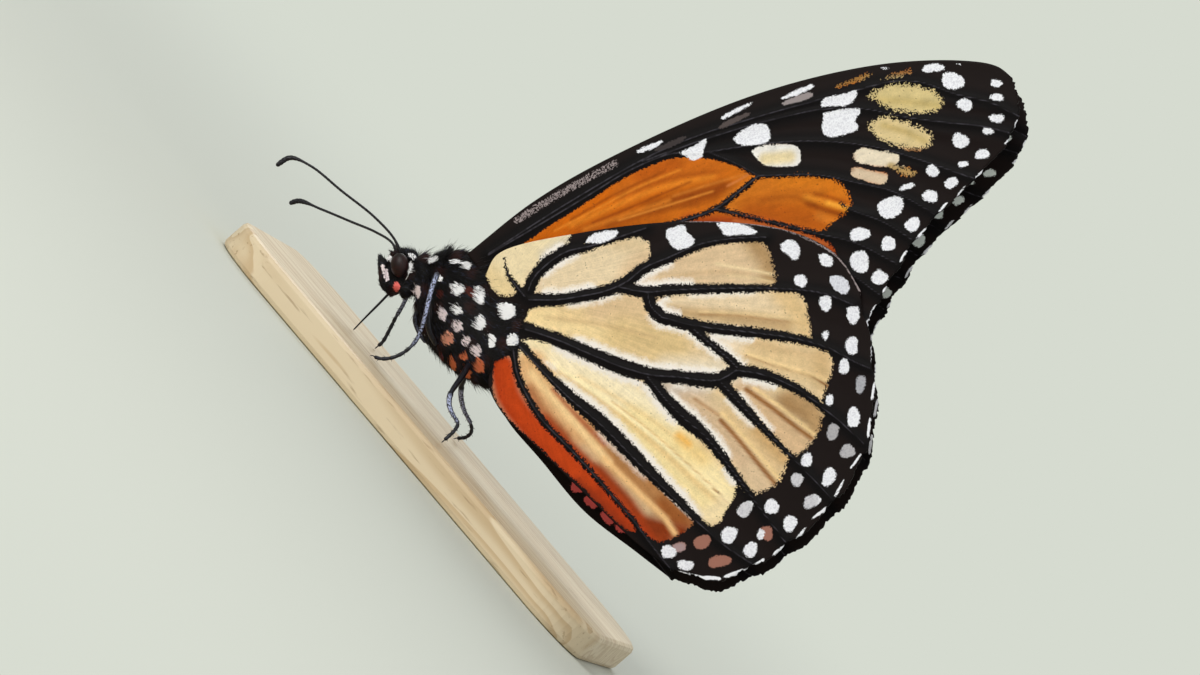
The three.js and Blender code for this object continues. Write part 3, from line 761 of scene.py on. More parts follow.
# %% Coloured fields of the forewing
FOREWING["fields"] = [
    ([(3.2, 5), (6.6, 7.3), (8.1, 8.2), (10, 9.45), (12.6, 11.1), (14.4, 12), (17.1, 13), (19, 13.1),
      (20.7, 12.95), (22.5, 12.5), (25.2, 11.35), (23, 9.5), (21.2, 8.2), (20, 6.5), (10, 5.2)], 0.16),
    ([(22, 8.6), (23.6, 9.8), (25.4, 11.2), (27.5, 11.5), (30, 11.4), (32, 11), (33.4, 9.7), (33.6, 8.3),
      (32.3, 7.4), (31.2, 6.4), (28, 6.9), (25, 7.5)], 0.42),
    ([(18, 6.9), (21.2, 8.2), (25, 7.3), (28.5, 6.4), (31.8, 5.1), (32.4, 3.6), (29, 2.6), (22, 4.5),
      (16, 5.8)], 0.3),
    ([(24.5, 13.6), (25.2, 14.1), (28.6, 14.1), (29, 13.6), (28.9, 12.4), (27.2, 12.2), (25.7, 12.4)], 0.12),
    ([(12, 5.4), (18, 4.9), (24, 3.5), (30, 2), (30.4, -0.8), (27, -1.5), (14, 0.6), (5, 1.8),
      (3.6, 3.4)], 0.3),
    ([(35.2, 18.6), (37, 19.6), (39.4, 19.5), (41.6, 18.6), (41.9, 17.5), (40.8, 17.1), (37.5, 17.3)], 0.6),
    ([(35.2, 16), (36.6, 16.6), (39.2, 15.9), (41, 14.9), (40.6, 13.9), (38.3, 13.9), (36, 14.9)], 0.6),
    ([(33.85, 13.3), (34.5, 13.85), (35.9, 13.65), (37.7, 13.4), (38.1, 12.8), (37.5, 12.2), (35.9, 12.2),
      (34.5, 12.5), (33.85, 12.9)], 0.15),
    ([(33.6, 11.95), (34.2, 12.1), (35.7, 11.75), (37, 11.45), (36.9, 10.8), (36.2, 10.45), (34.8, 10.9),
      (33.8, 11.3)], 0.15),
    ([(37.2, 12.25), (38.6, 12), (39.6, 11.5), (38.4, 11.4)], 0.5),
    ([(32.2, 19.4), (34.4, 20.4), (35.6, 20.7), (34.6, 20.1)], 0.4),
    ([(36.4, 20.1), (38, 20.7), (39.2, 20.9), (38, 20.3)], 0.5),
]
print("forewing's fields:", len(FOREWING["fields"]))

# %% Distances into the fields
def field_marks(spots, fields):
    """Distance into the nearest coloured field, positive inside, and how ragged its edge is."""
    inwards = np.full(len(spots), -NEAR)
    ragged = np.zeros(len(spots))
    for points, roughness in fields:
        outline = smooth_line([*points, points[0]], 4 * len(points))[:-1]
        close = close_to(spots, outline, NEAR)
        depth = -outline_distance(spots[close], outline)
        deeper = depth > inwards[close]
        inwards[close[deeper]] = depth[deeper]
        ragged[close[deeper]] = roughness
    return inwards, ragged


print("the sample's depth in its field:", field_marks(SAMPLE, HINDWING["fields"])[0])

# %% [markdown]
# The fields are painted as a painter would: a base colour, then soft strokes of other colours over
# it. A stroke is a colour, its width, the softness of its edge, its strength and the line it
# follows. Some strokes are painted light and shade: the dark furrows and light ridges along the
# folds, and the shade where the hindwing curves under the belly. The white rims beside some black
# bands are strokes too: how wide the rim is, how far from its line it shows, and the line.

# %% Strokes of the hindwing
HINDWING["base"] = (222, 196, 154)
HINDWING["strokes"] = [
    ((230, 212, 172), 4, 1, 1, [(1, 2.5), (4, 4), (7, 5.4)]),
    ((228, 204, 154), 1.6, 1.2, 0.9, [(0.6, 2.2), (2, 1.1)]),
    ((200, 192, 176), 0.7, 0.8, 0.6, [(5.8, 4.3), (7.8, 5.5)]),
    ((227, 206, 170), 3.4, 1, 1, [(6, 1.4), (10, 2.9), (14.4, 4.2)]),
    ((206, 180, 138), 0.8, 1.2, 0.6, [(12.5, 5.3), (15.2, 4.6), (15, 3)]),
    ((216, 188, 150), 4.4, 1, 1, [(15, 2), (20, 3.4), (26, 3.2)]),
    ((168, 134, 90), 1.3, 1.2, 0.9, [(24.9, 5.4), (26.2, 3.6), (26.6, 1.6)]),
    # Along this fold: light lines of painted highlight and a darker line of painted shade.
    ((238, 216, 170), 0.14, 0.2, 0.7, [(21.5, 3.3), (24.5, 2.75), (26.7, 2.3)]),
    ((236, 212, 164), 0.12, 0.2, 0.6, [(22.5, 2.3), (24.8, 2), (26.6, 1.6)]),
    ((196, 164, 122), 0.2, 0.4, 0.5, [(17, 2), (21, 2.6), (24.5, 2.4)]),
    ((229, 206, 170), 1.6, 0.8, 0.9, [(17.5, 0), (22, 0.1), (27, 0.1)]),
    ((186, 154, 110), 0.7, 0.7, 0.9, [(17.5, -1), (23, -1.6), (28, -2.4)]),
    # Along this fold: a dark line of painted shade and a light line of painted highlight.
    ((160, 118, 72), 0.08, 0.22, 0.7, [(20, -1.3), (23, -1.35), (26.4, -1.8), (29.8, -2.2)]),
    ((232, 204, 152), 0.1, 0.22, 0.6, [(20, -1.05), (25, -1.3), (29.8, -1.9)]),
    ((216, 184, 132), 1.4, 1, 0.8, [(27.5, 0.4), (29.4, -1.4), (29.8, -3.4)]),
    ((234, 214, 184), 1.6, 1, 0.9, [(21, -3.4), (24.4, -4)]),
    ((220, 190, 142), 1.8, 1, 0.9, [(25, -4.6), (30.4, -6.4)]),
    ((206, 172, 122), 1.2, 1, 0.7, [(31.2, -5), (31.4, -7.6)]),
    # Along this fold: dark lines of painted shade and a light line of painted highlight.
    ((160, 112, 64), 0.08, 0.24, 0.6, [(24.2, -5.1), (27.5, -6.2), (29.6, -6.7)]),
    ((126, 76, 34), 0.16, 0.2, 0.95, [(29.4, -6.6), (30.8, -7.25), (32.1, -8.1)]),
    ((242, 212, 156), 0.12, 0.26, 0.75, [(24.4, -4.9), (28, -6.1), (32, -7.5)]),
    ((202, 168, 122), 0.3, 0.5, 0.5, [(25, -3.9), (31.5, -5.4)]),
    ((238, 212, 158), 2, 1.4, 1, [(4.4, -1.6), (8, -1.9), (12, -3)]),
    ((220, 188, 138), 0.6, 0.9, 0.5, [(7.4, -1.1), (9.5, -1.4), (12.5, -1)]),
    ((217, 188, 146), 2, 1.4, 1, [(11, -0.6), (15, -1.2)]),
    ((215, 187, 134), 2.6, 1.6, 0.9, [(13, -3.2), (17.5, -4.2)]),
    ((232, 218, 192), 1, 1.2, 0.9, [(17, -6), (20.5, -6.2), (22.6, -6.3)]),
    # A faint dark line of painted shade along a fold.
    ((200, 168, 124), 0.16, 0.4, 0.5, [(6, -1.5), (11, -2.2), (16, -3.4)]),
    ((204, 188, 172), 1.6, 1.2, 0.9, [(16.4, -7.8), (19.5, -8.6)]),
    ((214, 186, 150), 2.6, 1.2, 0.9, [(19.5, -10), (23, -13), (26, -16)]),
    ((204, 172, 138), 0.7, 0.9, 0.6, [(18.6, -9), (21.5, -11.4), (24, -14.5)]),
    ((222, 190, 140), 1, 0.8, 0.8, [(22.6, -10.4), (25.4, -13.6), (27.6, -16.4)]),
    ((196, 152, 92), 0.9, 0.8, 0.7, [(25.4, -11.9), (27.8, -14.4)]),
    # Along this fold: a thick brown line of painted shade with a light line of painted highlight.
    ((168, 120, 72), 0.12, 0.25, 0.8, [(19.6, -9), (21.8, -10.5)]),
    ((138, 84, 38), 0.3, 0.22, 0.95, [(22, -10.95), (23.5, -12.55), (25.1, -14.45), (27, -16.7)]),
    ((240, 208, 150), 0.16, 0.22, 0.9, [(22.1, -10.3), (23.9, -12.2), (25.6, -14.2), (27.4, -16.3)]),
    ((234, 218, 194), 0.8, 0.9, 0.9, [(23.4, -7.2), (25.6, -7.5)]),
    ((210, 176, 136), 2, 1, 0.9, [(24.4, -8.4), (27, -11), (29, -13)]),
    ((172, 134, 88), 1.6, 0.9, 0.85, [(28.4, -9.2), (30.6, -10.4), (30.8, -11.4)]),
    ((146, 108, 66), 0.5, 0.8, 0.6, [(27.4, -9), (29.5, -10.6)]),
    # Along this fold: a brown line of painted shade with a light line of painted highlight.
    ((136, 84, 36), 0.3, 0.22, 0.95, [(24.3, -8.15), (26.7, -9.85), (28.9, -11.6), (30.3, -12.6)]),
    ((240, 208, 150), 0.14, 0.22, 0.9, [(25, -8), (27.2, -9.6), (29.4, -11.35), (30.7, -12.4)]),
    ((243, 225, 182), 3, 1, 1, [(5, -4.3), (9, -6.9), (14, -9.8), (18, -13)]),
    ((242, 220, 163), 3.4, 1.2, 1, [(14, -11.6), (18, -14.5), (21.5, -17.8)]),
    ((252, 232, 180), 1.4, 1, 0.9, [(20.4, -15.2), (22.4, -17.6)]),
    ((240, 206, 134), 1, 1, 0.7, [(18.6, -12.8), (20.4, -14.4)]),
    ((246, 188, 92), 0.5, 0.5, 0.9, [(18.2, -12.4), (19, -13.1)]),
    # Along the long fold of this cell: darker lines of painted shade and a light line of painted highlight.
    ((222, 184, 124), 0.3, 0.4, 0.6, [(7, -6.4), (14, -11.5), (22, -18.6)]),
    ((252, 236, 188), 0.22, 0.25, 0.9, [(5.5, -5), (14, -10.9), (23, -18.6)]),
    ((228, 196, 136), 0.2, 0.3, 0.5, [(9, -6.9), (15, -10.4), (20.4, -14.6)]),
    ((248, 236, 204), 0.8, 0.9, 0.6, [(7, -4.9), (13, -7.9), (17.5, -10.6)]),
    ((200, 154, 90), 0.06, 0.16, 0.7, [(12, -9.2), (15.45, -11.8), (19.45, -15.3), (21.6, -17.3)]),
    ((150, 96, 44), 0.08, 0.16, 0.9, [(21.4, -17.1), (23.1, -18.9)]),
    ((240, 218, 174), 1, 0.9, 0.8, [(21, -19.6), (22.4, -18.6)]),
    # The cell by the inner edge curves under the belly: it darkens towards its far end and towards the inner
    # edge in painted shade, coloured by light coming through the orange wing.
    ((222, 178, 126), 2.6, 0.8, 1, [(4.6, -6), (6.3, -8.8), (9, -11.6)]),
    ((200, 150, 100), 2, 1, 1, [(9.6, -11.4), (12.8, -14.7)]),
    ((176, 124, 76), 2, 1.2, 1, [(12.6, -14.3), (15.6, -17.2), (18, -19.4)]),
    ((150, 84, 38), 1.2, 0.9, 0.9, [(16.8, -18.7), (18.4, -19.9), (19.4, -20.4)]),
    ((160, 90, 48), 0.8, 0.7, 0.8, [(4.4, -8.2), (5.8, -10.3), (7.6, -12.3)]),
    ((156, 66, 28), 0.9, 0.7, 1, [(5.9, -11), (8, -13.1), (10.9, -15.9), (13.4, -18.6)]),
    ((150, 60, 24), 1.9, 0.7, 1, [(10.6, -16.1), (13, -18.6), (15, -20.8), (16.6, -22)]),
    ((134, 54, 20), 1.3, 0.8, 1, [(15.8, -20.6), (18.4, -21.2)]),
    # Painted highlights along the crest where this cell bulges round the belly, then a line of painted shade
    # beside its black band.
    ((242, 206, 150), 0.45, 0.4, 1, [(4.6, -6.6), (6.5, -8.8), (8.95, -11.55), (11.8, -14.75)]),
    ((238, 192, 132), 0.3, 0.35, 1, [(11.4, -14.4), (14.55, -17.5), (17, -19.85), (17.9, -21.2)]),
    ((168, 78, 48), 0.2, 0.35, 0.8, [(6.6, -8.1), (7.2, -8.8), (9, -10.7), (11.4, -13.1)]),
    # The strip along the inner edge: deep red-orange painted shade with light through the wing, over the
    # wing's own slightly more orange colour there.
    ((172, 58, 20), 2.2, 1, 1, [(1.8, -6), (2.4, -8.6), (5, -12), (9, -16), (14.5, -22)]),
    ((192, 68, 22), 1, 0.8, 0.8, [(2.2, -6), (3, -9.2), (6.4, -13), (10, -16.6)]),
    ((122, 44, 22), 0.5, 0.7, 0.7, [(9, -16.6), (12, -19.6), (14.8, -22.4)]),
]
print("hindwing's strokes:", len(HINDWING["strokes"]))

# %% White rims of the hindwing
HINDWING["rims"] = [
    (0.34, 1.7, [(5.2, -4.1), (9.5, -6.3), (14, -8.6), (17, -10.2), (19, -11.9)]),
    (0.36, 1.7, [(6.2, -6), (9, -8.2), (12, -10.8), (15.4, -14.2), (19, -17.7), (21.6, -20.4)]),
    (0.26, 1.1, [(22, -15.2), (23.4, -17.2)]),
    (0.28, 1.3, [(16.6, -7.9), (18.9, -9.2), (21, -11), (23.5, -15)]),
    (0.34, 1.6, [(7.4, -2.8), (12, -4.6), (17, -5.9), (21.8, -6.3), (23, -6)]),
    (0.16, 1, [(7, -0.5), (10, -0.2), (13.6, 0.1)]),
    (0.22, 1.2, [(14.6, -0.8), (16.4, -2.6), (20.5, -4.3), (22.6, -6)]),
    (0.26, 1.2, [(13.6, 1.4), (15.6, 2.4), (18, 3.4)]),
    (0.28, 1.1, [(14.2, 1.3), (17, 1.6), (20, 1.6)]),
    (0.3, 1.2, [(5, 0.9), (8.6, 0.9), (11, 1.4)]),
    (0.2, 1, [(5.4, 1.6), (6.6, 3), (9.4, 4.3)]),
    (0.3, 1, [(4.8, 4), (6.4, 4.9), (7.6, 5.5)]),
    (0.3, 1.1, [(16.2, 0.2), (16.6, -0.8), (18.6, -1.4)]),
    (0.14, 0.9, [(18, 0.4), (26, 0.5)]),
    (0.3, 1.2, [(20.6, -3), (23, -3.3), (25.4, -3.7)]),
    (0.2, 0.9, [(21, -3.3), (23, -4.9), (24.8, -6)]),
    (0.3, 1.1, [(23.6, -7.2), (25.4, -7.5), (27.4, -8.2)]),
    (0.18, 0.9, [(23.4, -7.6), (25.6, -9.9), (27.6, -12.2)]),
    (0.12, 1, [(16.8, -7.9), (20, -8.2), (22, -8.4)]),
    (0.16, 0.8, [(22, -8.6), (23.8, -10.6), (25.2, -12.2)]),
    (0.12, 0.9, [(10, -11.2), (13, -14), (16, -16.9)]),
]
print("rims:", len(HINDWING["rims"]))

# %% Strokes of the forewing
FOREWING["base"] = (200, 105, 22)
FOREWING["strokes"] = [
    ((202, 100, 14), 3.2, 1.4, 1, [(6, 6.6), (11, 8.8), (15, 11)]),
    ((176, 84, 16), 1, 1.2, 0.8, [(9, 6.4), (13, 7.8), (16, 8.4)]),
    ((196, 102, 26), 1.6, 1.2, 0.9, [(13, 10), (17.5, 12.2), (21, 12.2)]),
    ((178, 84, 18), 0.9, 1, 0.8, [(14.5, 11.6), (17.5, 12.6)]),
    # Light and dark streaks along this cell's two folds: painted highlights and painted shade of the folds,
    # with the scales' own fine streaks.
    ((132, 60, 12), 0.5, 0.9, 0.9, [(15.4, 8.7), (18.5, 9.5), (22, 10.4)]),
    ((146, 66, 12), 0.6, 0.9, 0.8, [(18.5, 9.2), (20.6, 9.6), (22.6, 10.4)]),
    ((150, 72, 16), 0.3, 0.5, 0.7, [(11.5, 7), (15, 8.2), (19.5, 8.9)]),
    ((222, 130, 36), 0.25, 0.45, 0.8, [(8, 7), (12, 8.7), (16, 10.3), (21, 11.4)]),
    ((216, 126, 38), 0.18, 0.35, 0.7, [(9.2, 6.6), (13, 7.9), (17, 9.2)]),
    ((206, 122, 44), 0.12, 0.2, 0.6, [(17.4, 9.6), (20.6, 10.6), (23.8, 11.5)]),
    ((160, 76, 16), 0.2, 0.4, 0.7, [(12.4, 9.6), (17, 11.2), (21, 11.8)]),
    ((204, 124, 66), 0.1, 0.18, 0.8, [(22.4, 10.5), (23.6, 11.1), (24.4, 11.6)]),
    ((226, 134, 40), 0.08, 0.2, 0.8, [(6.5, 6.5), (10, 8.3), (14.5, 10.6), (18, 12)]),
    ((150, 70, 14), 0.08, 0.2, 0.8, [(8, 7.5), (12, 9.8), (16.6, 11.9)]),
    ((142, 64, 14), 0.08, 0.2, 0.8, [(10, 7.2), (14, 8.8), (19, 10.9)]),
    ((220, 136, 50), 0.08, 0.18, 0.8, [(12.4, 7.4), (16.4, 8.6), (21, 10)]),
    ((200, 112, 30), 2.4, 1, 1, [(23.4, 8.9), (25.6, 10), (30, 10.6)]),
    ((208, 118, 28), 0.9, 0.9, 0.8, [(27.5, 10.8), (31.6, 10.8), (33, 9.8)]),
    ((172, 84, 18), 1.4, 1.2, 0.9, [(24.5, 8.2), (27.5, 7.9), (30.5, 7.2)]),
    ((184, 98, 24), 0.2, 0.4, 0.7, [(24, 9), (27, 9.9), (30, 9.8)]),
    ((150, 70, 14), 0.2, 0.4, 0.6, [(25.6, 9.2), (28.4, 9.5), (30.4, 8.8)]),
    # Along this fold: dark lines of painted shade round a bright line of painted highlight.
    ((128, 54, 10), 0.26, 0.4, 0.8, [(29.7, 8.85), (30.9, 8.35), (32.8, 7.75)]),
    ((228, 146, 46), 0.2, 0.5, 0.6, [(29.6, 9.4), (31.4, 8.95)]),
    ((248, 168, 58), 0.26, 0.35, 1, [(31.6, 8.85), (33.4, 8.3)]),
    ((150, 70, 12), 0.2, 0.3, 0.8, [(30.4, 9.7), (32, 9.3), (33.2, 8.9)]),
    ((208, 122, 40), 0.4, 0.6, 0.7, [(30.8, 7.7), (32, 7.2)]),
    # A darker band along the hindwing's front edge: painted shade where the two wings meet.
    ((176, 74, 26), 1.6, 0.8, 1, [(19, 6.9), (25, 6.6), (31.8, 4.6)]),
    ((206, 112, 56), 0.16, 0.25, 0.8, [(23, 7.3), (27.6, 6.5), (31.6, 5)]),
    ((196, 88, 26), 4, 1, 1, [(6, 3), (16, 3), (28, 0.6)]),
    ((230, 226, 220), 2.2, 0.3, 1, [(25.4, 13.2), (28.6, 13.2)]),
    ((228, 210, 166), 0.9, 0.5, 1, [(25.8, 12.9), (28, 13.1)]),
    ((206, 186, 132), 4, 0.5, 1, [(36, 18.4), (41, 18.4)]),
    ((212, 190, 140), 3, 0.5, 1, [(36, 15.4), (40.5, 15.2)]),
    # Thin darker lines along the folds: painted shade.
    ((184, 160, 96), 0.3, 0.5, 0.6, [(36, 18.2), (39, 18), (41.6, 17.6)]),
    ((186, 160, 98), 0.3, 0.4, 0.7, [(36.6, 15.9), (38.6, 15.3), (40.4, 14.4)]),
    ((228, 214, 190), 1.6, 0.3, 1, [(34.2, 13.2), (38, 12.8)]),
    ((210, 188, 160), 1, 0.3, 1, [(34, 11.6), (36.8, 10.9)]),
    ((126, 70, 30), 0.2, 0.3, 0.6, [(33.8, 13.2), (33.8, 11.9)]),
    ((178, 150, 96), 0.7, 0.3, 0.9, [(37.3, 12.1), (39.5, 11.4)]),
    ((140, 112, 62), 0.5, 0.3, 0.8, [(32.3, 19.6), (35.5, 20.6)]),
    ((120, 92, 56), 0.5, 0.3, 0.7, [(36.5, 20.2), (39, 20.9)]),
]
print("forewing's strokes:", len(FOREWING["strokes"]))

# %% Painting the strokes
STROKE_STEP = 1.2
RIM_START, RIM_END = (0, 0.18), (0.82, 1)


def painted(spots, base, strokes):
    """The colour of every spot after all strokes, as linear values."""
    colour = np.tile(np.array(srgb(*base)[:3]), (len(spots), 1))
    for tint, width, softness, strength, points in strokes:
        line = stepped_line(points, STROKE_STEP, 3)
        reach = width / 2 + softness
        close = close_to(spots, line, reach)
        gap, _ = line_distance(spots[close], line)
        share = strength * (1 - smoothstep(gap, width / 2 - softness / 2, reach))
        colour[close] += share[:, None] * (np.array(srgb(*tint)[:3]) - colour[close])
    return colour


def rim_widths(spots, rims):
    widths = np.zeros(len(spots))
    for width, reach, points in rims:
        gap, share = line_distance(spots, stepped_line(points, STROKE_STEP, 3))
        taper = smoothstep(share, *RIM_START) * (1 - smoothstep(share, *RIM_END))
        widths = np.maximum(widths, width * taper * (1 - smoothstep(gap, reach * 0.5, reach)))
    return widths


print("paint on the sample:", painted(SAMPLE, HINDWING["base"], HINDWING["strokes"]).round(3))

# %% [markdown]
# The membrane isn't flat: veins stand up as thin tubes, the panels between them sink a little, and
# fold lines run lengthwise through the larger cells. These give the wing its small shadows.

# %% Folds and relief
HINDWING["folds"] = [
    [(5.5, -5.1), (14, -11), (23, -18.7)], [(20, -9.2), (24, -13.6), (27, -16.7)],
    [(24.6, -8.3), (27.5, -10.6), (30.4, -12.9)], [(23, -4.7), (27.5, -6.2), (32, -7.6)],
    [(19, -1.2), (24, -1.6), (30, -2.1)], [(17, 2), (22, 2.6), (27, 1.9)],
    [(6, -1.4), (12, -2.2), (18, -4.4)], [(6, -10.4), (12, -16), (17.8, -21.4)],
]
FOREWING["folds"] = [
    [(8, 7), (14, 9.3), (21, 11.3)], [(10, 6.4), (16, 8.4), (22, 10.3)], [(29, 9.6), (33.5, 8.2), (38, 7.4)],
    [(34, 13), (40, 12), (45, 10.7)], [(30, 16.3), (38, 15.7), (47, 14.2)],
    [(35, 19.4), (41, 18.2), (48, 16.9)],
]
VEIN_RISE, VEIN_REACH = 0.06, 0.26
FOLD_RISE, FOLD_REACH = 0.06, 0.4
PANEL_SINK, PANEL_REACH = 0.10, 1.4
FOLD_POINTS = 12


def relief_of(spots, kind, centre):
    """Height of the membrane over its flat middle, in millimetres."""
    height = VEIN_RISE * np.exp(-(centre / VEIN_REACH) ** 2)
    height -= PANEL_SINK * (1 - np.exp(-(centre / PANEL_REACH) ** 2))
    for points in kind["folds"]:
        gap, share = line_distance(spots, smooth_line(points, FOLD_POINTS))
        fade = np.sin(math.pi * np.clip(share, 0.02, 0.98)) ** 0.5
        height += FOLD_RISE * fade * np.exp(-(gap / FOLD_REACH) ** 2)
    return height


print("folds:", len(HINDWING["folds"]) + len(FOREWING["folds"]))

# %% [markdown]
# Scales lie over the wing like roof tiles and each has one colour, so every edge between two
# colours is a little ragged. A shader group gives each scale its own random numbers. The materials
# use them to shift the edges scale by scale.

# %% Shader group for single scales
scale_group, given, result = new_group(
    "single_scales",
    [("Place", "NodeSocketVector", (0, 0, 0)), ("Lengthwise", "NodeSocketVector", (0, 0, 0)),
     ("Width", "NodeSocketFloat", 0.12)],
    [("First", "NodeSocketFloat"), ("Second", "NodeSocketFloat"), ("Third", "NodeSocketFloat"),
     ("Broad", "NodeSocketFloat"), ("Streak", "NodeSocketFloat")],
)
tree = scale_group
size = computed(tree, "DIVIDE", 1.0, given["Width"])
tiles = add_node(tree, "ShaderNodeTexVoronoi", {"Vector": given["Place"], "Scale": size, "Randomness": 0.8},
                 voronoi_dimensions="2D")
parts = add_node(tree, "ShaderNodeSeparateColor", {"Color": tiles.outputs["Color"]})
broad = add_node(tree, "ShaderNodeTexNoise", {"Vector": given["Place"], "Scale": 1.3, "Detail": 3.0},
                 noise_dimensions="2D")
streak = add_node(tree, "ShaderNodeTexNoise", {"Vector": given["Lengthwise"], "Scale": 1.0, "Detail": 3.0},
                  noise_dimensions="2D")
for name, value in (("First", parts.outputs[0]), ("Second", parts.outputs[1]), ("Third", parts.outputs[2]),
                    ("Broad", broad.outputs["Fac"]), ("Streak", streak.outputs["Fac"])):
    tree.links.new(value, result.inputs[name])
print("group:", scale_group.name)

# %% [markdown]
# Both sides of a wing share one recipe: black scales, coloured fields, white rims and white spots.
# The underside keeps the painted colours, the upper side is a plain strong orange.

# %% Colours of the scales
SCALE_BLACK = srgb(13, 11, 12)
SCALE_BROWN = srgb(25, 18, 17)
SPOT_WHITE = srgb(236, 237, 242)
SPOT_SHADE = srgb(210, 210, 218)
RIM_WHITE = srgb(238, 231, 222)
# Painted highlight along the veins' ridges.
RIDGE_HIGHLIGHT = srgb(74, 71, 79)
# Painted sheen: grey speckles along the front edges of the wings.
SHEEN_GREY = srgb(146, 134, 134)
UPPER_ORANGE = srgb(204, 96, 22)
SCALE_WIDTH = 0.09
# How far an edge is shifted, in millimetres: scale by scale, and by broad patches.
VEIN_SHIFT, SPOT_SHIFT, DIM_SHIFT, DASH_SHIFT = (0.28, 0.14), (0.15, 0.14), (0.12, 0.15), (0.05, 0.0)
# Over which distances from its edge a colour comes in, in millimetres.
FIELD_STEP, VEIN_BAND_STEP, RIM_STEP = (-0.02, 0.03), (-0.02, 0.04), (-0.5, 0.16)
SPOT_STEP, UPPER_SPOT_STEP, DIM_STEP, DASH_STEP = (0.01, -0.06), (-0.08, -0.16), (0.04, -0.03), (0.03, -0.03)
print("scale width in mm:", SCALE_WIDTH)

# %% Wing materials
def wing_finish(name, under):
    """Material for the underside of a wing, or with under False for its upper side."""
    made, tree, shader = new_material(name)
    own = "" if under else "upper_"
    scales = add_node(tree, "ShaderNodeGroup", node_tree=scale_group)
    tree.links.new(attribute(tree, "flat", "Vector"), scales.inputs["Place"])
    scales.inputs["Width"].default_value = SCALE_WIDTH
    tree.links.new(attribute(tree, "lengthwise", "Vector"), scales.inputs["Lengthwise"])
    first, second, third, broad, streak = (scales.outputs[n] for n in
                                           ("First", "Second", "Third", "Broad", "Streak"))
    band = attribute(tree, "band")
    centred = computed(tree, "SUBTRACT", first, 0.5)
    other = computed(tree, "SUBTRACT", second, 0.5)
    drift = computed(tree, "SUBTRACT", broad, 0.5)

    def shifted(value, single, by_scale, by_patch=0.0):
        return scaled_sum(tree, drift, by_patch, scaled_sum(tree, single, by_scale, value))

    ragged = attribute(tree, "ragged")
    own_edge = shifted(attribute(tree, own + "inwards"), centred, ragged)
    own_edge = scaled_sum(tree, product(tree, drift, ragged), 0.9, own_edge)
    in_field = soft_step(tree, own_edge, *FIELD_STEP)
    off_vein = soft_step(tree, shifted(band, other, *VEIN_SHIFT), *VEIN_BAND_STEP)
    shown = product(tree, in_field, off_vein)

    # The dark scales: black, brown further from the veins, with a painted grey highlight along the veins'
    # ridges.
    centre = attribute(tree, "centre")
    dark = mixed(tree, soft_step(tree, centre, 0.3, 1.3), SCALE_BLACK, SCALE_BROWN)
    dark = mixed(tree, product(tree, soft_step(tree, third, 0.55, 1.0), 0.3), dark, SCALE_BROWN)
    patchy = scaled_sum(tree, soft_step(tree, broad, 0.4, 0.6), 0.6, 0.4)
    ridge_highlight = product(tree, soft_step(tree, centre, 0.1, 0.03), patchy)
    dark = mixed(tree, product(tree, ridge_highlight, 0.6), dark, RIDGE_HIGHLIGHT)

    # The coloured scales, each a little lighter or darker than the next.
    if under:
        ground = attribute(tree, "ground", "Color")
        lift = scaled_sum(tree, second, 0.13, 0.915)
        lift = scaled_sum(tree, drift, 0.3, lift)
        lift = scaled_sum(tree, computed(tree, "SUBTRACT", streak, 0.5), 0.28, lift)
        rim = attribute(tree, "rim")
        rim_edge = computed(tree, "SUBTRACT", scaled_sum(tree, centred, 0.24, rim), band)
        rim_edge = soft_step(tree, scaled_sum(tree, drift, 0.5, rim_edge), *RIM_STEP)
        rim_share = product(tree, rim_edge, soft_step(tree, rim, 0.03, 0.2))
    else:
        ground = UPPER_ORANGE
        lift = scaled_sum(tree, streak, 0.5, 0.75)
        rim_share = 0.0
    shade = add_node(tree, "ShaderNodeCombineColor", {"Red": lift, "Green": lift, "Blue": lift})
    ground = mixed(tree, 1.0, ground, shade.outputs[0], "MULTIPLY")
    ground = mixed(tree, rim_share, ground, RIM_WHITE)
    stray = product(tree, soft_step(tree, third, 0.984, 0.99), soft_step(tree, broad, 0.5, 0.6))
    ground = mixed(tree, product(tree, stray, 0.55), ground, SCALE_BROWN)
    colour = mixed(tree, shown, dark, ground)

    # Spots, dashes and a painted sheen along the front edge lie over both.
    dim_tint = attribute(tree, "dim_tint", "Color")
    white = mixed(tree, soft_step(tree, second, 0.3, 1.0), SPOT_WHITE, SPOT_SHADE)
    white = mixed(tree, 1.0, white, attribute(tree, "spot_tint", "Color"), "MULTIPLY")
    spot_edge = shifted(attribute(tree, own + "spot"), centred, *SPOT_SHIFT)
    on_spot = soft_step(tree, spot_edge, *(SPOT_STEP if under else UPPER_SPOT_STEP))
    on_dash = soft_step(tree, shifted(attribute(tree, own + "dash"), centred, *DASH_SHIFT), *DASH_STEP)
    on_dim = soft_step(tree, shifted(attribute(tree, "dim"), centred, *DIM_SHIFT), *DIM_STEP)
    colour = mixed(tree, product(tree, on_dim, 0.85), colour, dim_tint)
    # On the upper side the spots take the dim tint instead of white: painted shade.
    colour = mixed(tree, on_spot, colour, white if under else dim_tint)
    colour = mixed(tree, on_dash, colour, SPOT_WHITE)
    # The painted sheen along the front edge, in grey speckles.
    frost = computed(tree, "ADD", attribute(tree, "frost"), centred)
    colour = mixed(tree, soft_step(tree, frost, 0.8, 1.0), colour, SHEEN_GREY)
    tree.links.new(colour, shader.inputs["Base Color"])

    # Black scales are glossier than pale ones.
    light = computed(tree, "MAXIMUM", shown, computed(tree, "MAXIMUM", on_spot, on_dash))
    set_surface(shader, 0.5, 0.06)
    tree.links.new(scaled_sum(tree, light, 0.22, 0.48), shader.inputs["Roughness"])
    add_bump(tree, shader, scaled_sum(tree, second, 0.6, product(tree, streak, 1.2)), 0.14, 0.00003)
    return made


under_finish = wing_finish("wing_underside", True)
upper_finish = wing_finish("wing_upper_side", False)
print("materials:", under_finish.name, upper_finish.name)

